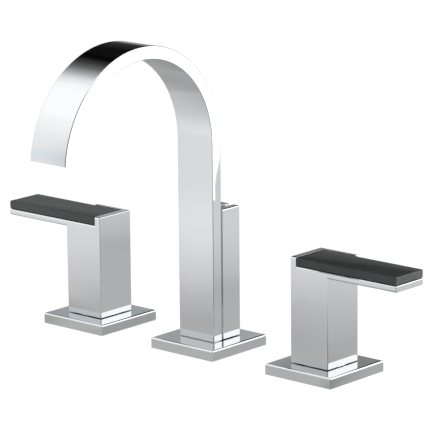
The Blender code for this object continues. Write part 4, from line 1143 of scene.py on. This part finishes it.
def makeShankAndTee():
    at, lead, steps, hole = (0.0, fit["bandMiddle"]), valve["lead"], fit["roundSteps"], under["shankHole"]
    low, high, middle, radius = measure("spout_shank")
    root, bore = radius - under["shankThread"][0], under["shankBore"]
    tube = [(root, high.z), (root, low.z), (bore, low.z), (bore, high.z)]
    shank = polishFaces(turned("spoutShank", tube, at))
    gather(shank, thread(radius, low.z + lead, high.z - lead, at, "z", *under["shankThread"]))
    standIn(shank, "spout_shank")
    makeHexNut("spoutNut", "spout_nut", hole)
    washer = makeWasher("spoutWasher", "spout_washer", 0.0, under["washerGrooves"])
    low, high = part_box("spout_washer")
    carve(washer, through("shankHole", hole, low.z, high.z, at, steps=steps),
          through("rodHole", under["rodHole"], low.z, high.z, (0.0, fit["rodY"])))
    polishIn(washer, "spout_washer")

    low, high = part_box("spout_tee")
    wide, armZ, arm, way = (high.y - low.y) / 2, under["armZ"], valve["outletRadius"], valve["outletBore"]
    shoulder, root = wide + under["armCollar"], arm - valve["depth"]
    tee = turned("spoutTee", [(0.0, low.z), (wide, low.z), (wide, high.z), (0.0, high.z)], (0.0, 0.0),
                 under["teeEdge"], False)
    arms = [(0.0, low.x), (root, low.x), (root, -shoulder), (arm, -shoulder), (arm, shoulder),
            (root, shoulder), (root, high.x), (0.0, high.x)]
    weldOn(tee, lay(turned("arms", arms, closed=False), "x", (0.0, armZ)))
    carve(tee, rod("grip", hole, under["gripFloor"], high.z + over, steps=steps),
          rod("well", under["shankBore"], armZ - way - gap, high.z + over, steps=steps),
          through("armWay", way, low.x, high.x, (0.0, armZ), "x"),
          *wrenchFlats(wide, under["flats"], low.z, high.z))
    polishFaces(tee)
    gather(tee, *[thread(arm, side * (shoulder + lead), side * (high.x - lead), (0.0, armZ), "x")
                  for side in (-1, 1)])
    standIn(shift(tee, *at), "spout_tee")


def makeLiftRod():
    at = (0.0, fit["rodY"])
    low, high, middle, wide = measure("lift_rod")
    radius, shoulder, margin = under["rodRadius"], low.z + under["rodEnd"], under["ribMargin"]
    bar = turned("liftRod", [(0.0, high.z), (radius, high.z), (radius, shoulder), (wide, shoulder),
                             (wide, low.z), (0.0, low.z)], at, under["rodEdge"], False)
    count, deep, width = under["ribs"]
    carve(bar, barRing(count, wide, deep, width, low.z + margin, shoulder - margin, at))
    polishIn(bar, "lift_rod")
    low, high, middle, wide = measure("rod_bush")
    lip, radius, bore = low.z + under["bushFlange"], under["bushRadius"], under["bushBore"]
    bush = turned("rodBush", [(radius, high.z), (radius, lip), (wide, lip), (wide, low.z), (bore, low.z),
                              (bore, high.z)], at, fineEase)
    polishIn(bush, "rod_bush")


def makeStreamFormer():
    # made upright at the origin, then turned into the mouth
    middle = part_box("spout")[1].z - spout["centreZ"] - spout["thickness"] / 2
    length, web, count = under["formerLength"], under["web"], under["slots"]
    bow = middle - math.sqrt(middle ** 2 - length ** 2)
    halfWidth, halfThick = spout["water"]["Width"] / 2 - gap, spout["water"]["Thickness"] / 2 - gap
    former = block("streamFormer", (-halfWidth, bow - halfThick, under["formerRecess"]),
                   (halfWidth, halfThick, length))
    roundOver(former, under["formerEdge"], 2)
    pitch = (2 * halfWidth - web) / count
    slots = grow("slots", barRowTree, "nylon", {
        "Count": count, "Pitch": pitch, "Width": pitch - web, "Depth": 2 * halfThick - bow - 2 * web,
        "Height": length + 2 * over})
    carve(former, shift(slots, 0.0, bow / 2, length / 2))
    sweep = spout["sweep"]
    y, z = spout["centreY"] + middle * math.cos(sweep), spout["centreZ"] + middle * math.sin(sweep)
    former.data.transform(Matrix.Translation((0.0, y, z)) @ Matrix.Rotation(sweep - math.pi, 4, "X"))
    polishIn(former, "stream_former")


def makeFixings():
    makeGasket("spoutGasket", "spout_gasket", footWay("opening", over))
    for tag in ("left", "right"):
        for kind in ("spout", "post"):
            makeScrew(f"{kind}Screw{tag.title()}", f"{kind}_screw_{tag}", *under["screw"], -1)


makeShankAndTee()
makeLiftRod()
makeStreamFormer()
makeFixings()
print("spout's fixings made")


# Studio: a white tent that only mirrors see, a pale floor and soft lamps

tent = {
    "radius": 0.80,
    "height": 1.40,
    "bright": 3.2,              # radiance of a full white stop
    # azimuth in degrees, clockwise from the front seen from above, and the wall's radiance
    "wall": [(-180, (0.006, 0.006, 0.006)), (-113, (0.005, 0.004, 0.004)), (-106, (0.07, 0.071, 0.07)),
             (-98.3, (0.213, 0.222, 0.219)), (-89.5, (0.63, 0.65, 0.66)), (-80.4, (1.297, 1.293, 1.31)),
             (-71.7, (1.658, 1.642, 1.667)), (-63.8, (1.753, 1.717, 1.738)), (-57, (1.764, 1.733, 1.742)),
             (-37, (1.764, 1.733, 1.742)), (-34, (1.40, 1.43, 1.46)), (-24, (1.24, 1.26, 1.29)),
             (0, (0.64, 0.64, 0.65)), (50, (0.45, 0.45, 0.46)), (100, (0.70, 0.70, 0.71)),
             (118, (2.90, 2.90, 2.93)), (152, (2.95, 2.95, 2.98)), (160, (0.30, 0.30, 0.30)),
             (168, (0.006, 0.006, 0.006))],
    # share of that at each height, a little bluer in a narrow zone low down
    "rise": [(0.0, (0.785, 0.785, 0.785)), (0.145, (0.785, 0.785, 0.785)), (0.17, (0.74, 0.78, 0.815)),
             (0.205, (0.745, 0.79, 0.825)), (0.25, (0.805, 0.805, 0.805)), (0.30, (0.825, 0.825, 0.825)),
             (0.38, (0.845, 0.845, 0.845)), (0.465, (0.90, 0.90, 0.90)), (0.55, (0.935, 0.935, 0.935)),
             (0.645, (1.0, 1.0, 1.0))],
    "ceiling": 1.9,
    "steps": 96,
    "foot": 0.001,
    "eaves": 0.05,
}
floor = {
    "size": 9.0,
    # how bright the floor looks in a mirror: by distance in front, darker close to the faucet as a painted
    # shadow, and the share of that by azimuth
    "paintedShadowByReach": [(0.0, 0.68), (0.087, 0.70), (0.11, 0.77), (0.15, 0.85), (0.188, 0.98), (0.223, 1.08),
              (0.26, 1.16), (0.30, 1.245), (0.34, 1.31), (0.40, 1.345), (0.46, 1.32), (0.51, 1.26),
              (0.65, 1.25)],
    "share": [(-180, 0.40), (-140, 0.31), (-125, 0.32), (-118, 0.42), (-108, 0.55), (-97, 0.62),
              (-85, 0.68), (-75, 0.73), (-71, 0.81), (-67, 0.92), (-63, 0.90), (-55, 0.90), (-49, 0.91),
              (-41, 1.0), (25, 1.0), (38, 0.35), (80, 0.35), (104, 0.76), (120, 0.75), (138, 0.82),
              (151, 0.79), (162, 0.72), (180, 0.40)],
    "close": (0.115, 0.14),     # nearer than this the azimuth makes no difference
    # plain grey patch between the spout and the hot side: place, inner and outer reach, brightness
    "patch": {"x": 0.02, "y": 0.06, "inner": 0.10, "outer": 0.16, "level": 0.76},
    "plainShare": 0.12,         # of the floor's white that is lit, so that it keeps the shadow
    "white": 0.93,
    "lit": 0.86,
}
curtain = {
    "azimuth": -137.0, "distance": 0.50, "left": -0.45, "right": 0.20, "height": 1.25, "droop": 0.38,
    # height and radiance of the cloth
    "fade": [(0.0, (0.40, 0.42, 0.43)), (0.085, (0.41, 0.43, 0.44)), (0.102, (0.61, 0.63, 0.64)),
             (0.1095, (0.62, 0.64, 0.65)), (0.1145, (0.50, 0.52, 0.53)), (0.138, (0.48, 0.50, 0.51)),
             (0.158, (0.515, 0.53, 0.54)), (0.180, (0.61, 0.625, 0.635)), (0.205, (0.37, 0.38, 0.39)),
             (0.245, (0.315, 0.31, 0.305)), (0.264, (0.27, 0.265, 0.26)), (0.287, (0.055, 0.055, 0.055)),
             (0.347, (0.032, 0.032, 0.032)), (0.408, (0.022, 0.022, 0.022)), (0.47, (0.008, 0.008, 0.008))],
}
brightWall = {"azimuth": 138.6, "distance": 0.69, "left": 0.12, "right": -0.50, "height": 0.60,
              "colour": (0.975, 0.985, 1.0), "strength": 2.64}
floorCard = {"near": 0.462, "far": 0.69, "inner": 0.0200, "innerFar": 0.0115, "outer": 0.165, "above": 0.0006}
# painted shade: grey cards that only mirrors see make the floor look darker close beside two of the plates:
# from and to along X, and how bright
paintedShadeBesidePlates = {"front": -0.0270, "back": 0.0530,
                "strips": [(-0.0755, -0.0590, 0.59), (0.0262, 0.0430, 0.677)]}
# painted reflection: a glowing grey card over the hot handle, seen only from above and only in mirrors, keeps
# the black glass out of the arch's underside and shows grey there
cover = {"margin": 0.0080, "above": 0.0006, "radiance": 0.60}


def studioPiece(name, points, material, faces=((0, 1, 2, 3),), seenByCamera=False):
    mesh = bpy.data.meshes.new(name)
    mesh.from_pydata([tuple(point) for point in points], [], faces)
    mesh.materials.append(material)
    piece = linkPiece(name, mesh)
    for ray in ("camera", "diffuse", "shadow", "transmission"):
        setattr(piece, "visible_" + ray, seenByCamera)


def flatCard(name, left, right, front, back, z, material, seenByCamera=False):
    corners = [(left, front, z), (right, front, z), (right, back, z), (left, back, z)]
    studioPiece(name, corners, material, seenByCamera=seenByCamera)


def outward(card):
    # the way out to a standing card, the place of its foot and the way along it
    angle = math.radians(card["azimuth"])
    away = Vector((math.sin(angle), -math.cos(angle), 0.0))
    return away, away * card["distance"], Vector((math.cos(angle), math.sin(angle), 0.0))


def standingCard(name, card, material):
    away, foot, along = outward(card)
    left, right = foot + along * card["left"], foot + along * card["right"]
    rise = Vector((0.0, 0.0, card["height"]))
    studioPiece(name, [left, right, right + rise, left + rise], material)


def glowMaterial(name, strength=1.0, colour=(1.0, 1.0, 1.0)):
    material = bpy.data.materials.new(name)
    material.use_nodes = True
    tree = material.node_tree
    tree.nodes.clear()
    glow = put(tree, "ShaderNodeEmission", {"Color": (*colour, 1.0), "Strength": strength})
    end = tree.nodes.new("ShaderNodeOutputMaterial").inputs["Surface"]
    tree.links.new(glow, end)
    return material, tree, glow, end


def mixShaders(tree, share, first, second):
    return put(tree, "ShaderNodeMixShader", {0: share, 1: first, 2: second})


def allRound(tree, place):
    # azimuth about the Z axis as 0 to 1, from -180 to 180 degrees
    heading = calculate(tree, "ARCTAN2", place["X"], calculate(tree, "MULTIPLY", place["Y"], -1.0))
    return spread(tree, heading, 0.0, 1.0, -math.pi, math.pi)


def greyStops(pairs, low, high, top=1.0):
    return [((at - low) / (high - low), (value / top,) * 3) for at, value in pairs]


def makeTent():
    material, tree, glow = glowMaterial("tentCloth", tent["bright"])[:3]
    place = placeParts(tree)
    stops = [((azimuth + 180) / 360, [part / tent["bright"] for part in colour])
             for azimuth, colour in tent["wall"]]
    wall, rise = blendStops(tree, allRound(tree, place), stops), blendStops(tree, place["Z"], tent["rise"])
    both = put(tree, "ShaderNodeVectorMath", {0: wall, 1: rise}, operation="MULTIPLY")
    feed(tree, glow.node.inputs["Color"], both)
    steps, radius, top = tent["steps"], tent["radius"], tent["height"]
    points = [(x, y, z) for z in (tent["foot"], top) for x, y in circle(radius, steps)]
    studioPiece("tentWall", points, material, walls(steps))
    reach = radius + tent["eaves"]
    flatCard("tentTop", -reach, reach, -reach, reach, top, glowMaterial("tentTop", tent["ceiling"])[0])


def makeCurtain():
    material, tree, glow = glowMaterial("curtainCloth")[:3]
    plus, minus, times = sums(tree)[:3]
    place, along = placeParts(tree), outward(curtain)[2]
    # the grey hem droops towards the right
    sideways = plus(times(place["X"], along.x), times(place["Y"], along.y))
    droop = times(calculate(tree, "MINIMUM", sideways, 0.0), curtain["droop"])
    feed(tree, glow.node.inputs["Color"], blendStops(tree, minus(place["Z"], droop), curtain["fade"]))
    standingCard("curtain", curtain, material)


def makeBrightCardsAndPaintedShade():
    material = glowMaterial("whiteCard", brightWall["strength"], brightWall["colour"])[0]
    standingCard("brightWall", brightWall, material)
    away, foot, along = outward(brightWall)
    lift = Vector((0.0, 0.0, floorCard["above"]))
    corners = [("near", "inner"), ("near", "outer"), ("far", "outer"), ("far", "innerFar")]
    corners = [away * floorCard[far] - along * floorCard[wide] + lift for far, wide in corners]
    studioPiece("floorCard", corners, material)
    # painted shade: darker cards on the floor beside two of the plates, seen only in mirrors
    for left, right, level in paintedShadeBesidePlates["strips"]:
        flatCard("paintedShadeStrip", left, right, paintedShadeBesidePlates["front"], paintedShadeBesidePlates["back"], lift.z,
                 glowMaterial("paintedShadeCard", level)[0])


def makeCover():
    # painted reflection: a grey glow that mirrors see in place of the hot handle
    material, tree, glow, end = glowMaterial("paintedReflectionCard", cover["radiance"])
    behind = put(tree, "ShaderNodeNewGeometry", out="Backfacing")
    feed(tree, end, mixShaders(tree, behind, glow, put(tree, "ShaderNodeBsdfTransparent")))
    low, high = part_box("hot_handle")
    margin = cover["margin"]
    flatCard("cover", low.x - margin, high.x + margin, low.y - margin, high.y + margin,
             high.z + cover["above"], material)


def seenDirectly(tree):
    # camera, mirror and see-through rays, and the camera's alone
    path = put(tree, "ShaderNodeLightPath").node.outputs
    bounced = calculate(tree, "MAXIMUM", path["Is Glossy Ray"], path["Is Transmission Ray"])
    return calculate(tree, "MAXIMUM", path["Is Camera Ray"], bounced), path["Is Camera Ray"]


def makeFloor():
    material, tree, glow, end = glowMaterial("paleFloor")
    plus, minus, times = sums(tree)[:3]
    place = placeParts(tree)
    seen, byCamera = seenDirectly(tree)

    def distance(x, y):
        apart = minus(place["X"], x), minus(place["Y"], y)
        return calculate(tree, "POWER", plus(times(apart[0], apart[0]), times(apart[1], apart[1])), 0.5)

    def blend(share, first, second):
        return put(tree, "ShaderNodeMix", {"Factor": share, "A": first, "B": second}, "Result",
                   data_type="FLOAT")
    reach, patch = distance(0.0, 0.0), floor["patch"]
    top = 2.0       # the stops hold shares of this, so that none passes 1
    # painted shadow: close to the faucet the floor looks darker in mirrors
    paintedShadowByReach = times(blendStops(tree, reach, greyStops(floor["paintedShadowByReach"], 0.0, 1.0, top)), top)
    share = blendStops(tree, allRound(tree, place), greyStops(floor["share"], -180, 180))
    loss = times(minus(1.0, share), spread(tree, reach, 0.0, 1.0, *floor["close"]))
    inPatch = spread(tree, distance(patch["x"], patch["y"]), 1.0, 0.0, patch["inner"], patch["outer"])
    mirror = blend(inPatch, times(paintedShadowByReach, minus(1.0, loss)), patch["level"])
    feed(tree, glow.node.inputs["Strength"], blend(byCamera, mirror, floor["white"]))
    plain = put(tree, "ShaderNodeBsdfDiffuse", {"Color": times(byCamera, floor["plainShare"])})
    both = put(tree, "ShaderNodeAddShader", {0: glow, 1: plain})
    lit = put(tree, "ShaderNodeBsdfDiffuse", {"Color": (floor["lit"],) * 3 + (1.0,)})
    feed(tree, end, mixShaders(tree, seen, lit, both))
    half = floor["size"] / 2
    flatCard("paleFloor", -half, half, -half, half, 0.0, material, True)


light = {
    "ambient": 0.58,
    "aim": (0.0, 0.0, 0.08),
    # place, size and power
    "lamps": {"keyLamp": ((-0.9, -1.3, 1.5), 1.4, 6.0), "fillLamp": ((1.3, -0.7, 1.1), 1.2, 6.0),
              "sideLamp": ((-0.40, -0.22, 0.15), 0.15, 1.8), "tipLamp": ((0.42, 0.08, 0.13), 0.15, 2.0)},
}


def makeWorldAndLamps():
    world = bpy.data.worlds.new("studio")
    bpy.context.scene.world = world
    world.use_nodes = True
    tree = world.node_tree
    backdrop = tree.nodes["Background"].inputs
    backdrop["Color"].default_value = (1.0, 1.0, 1.0, 1.0)
    feed(tree, backdrop["Strength"], spread(tree, seenDirectly(tree)[0], light["ambient"], 1.0))
    for name, (place, size, power) in light["lamps"].items():
        lamp = bpy.data.lights.new(name, "AREA")
        lamp.energy = power
        lamp.size = size
        holder = linkPiece(name, lamp)
        holder.location = place
        holder.rotation_euler = (Vector(place) - Vector(light["aim"])).to_track_quat("Z", "Y").to_euler()
        holder.visible_glossy = False
        holder.visible_camera = False


makeTent()
makeCurtain()
makeBrightCardsAndPaintedShade()
makeCover()
makeFloor()
makeWorldAndLamps()
bpy.context.scene.view_settings.view_transform = "Standard"
print("studio lit")


# Camera at the photograph's place

view = {"azimuth": 41.441, "elevation": 13.223, "roll": -0.530, "place": (1.314281, -1.480994, 0.557003),
        "lens": 252.72}


def makeCamera():
    azimuth, elevation, roll = (math.radians(view[label]) for label in ("azimuth", "elevation", "roll"))
    back = Vector((math.sin(azimuth) * math.cos(elevation), -math.cos(azimuth) * math.cos(elevation),
                   math.sin(elevation)))
    level = Vector((math.cos(azimuth), math.sin(azimuth), 0.0))
    upright = back.cross(level)
    right = level * math.cos(roll) + upright * math.sin(roll)
    up = upright * math.cos(roll) - level * math.sin(roll)
    data = bpy.data.cameras.new("camera")
    data.sensor_width = 36.0
    data.sensor_fit = "HORIZONTAL"
    data.lens = view["lens"]
    data.clip_end = 100.0
    camera = linkPiece("camera", data)
    camera.matrix_world = Matrix((right, up, back)).transposed().to_4x4()
    camera.location = view["place"]
    bpy.context.scene.camera = camera


makeCamera()

print("faucet ready")
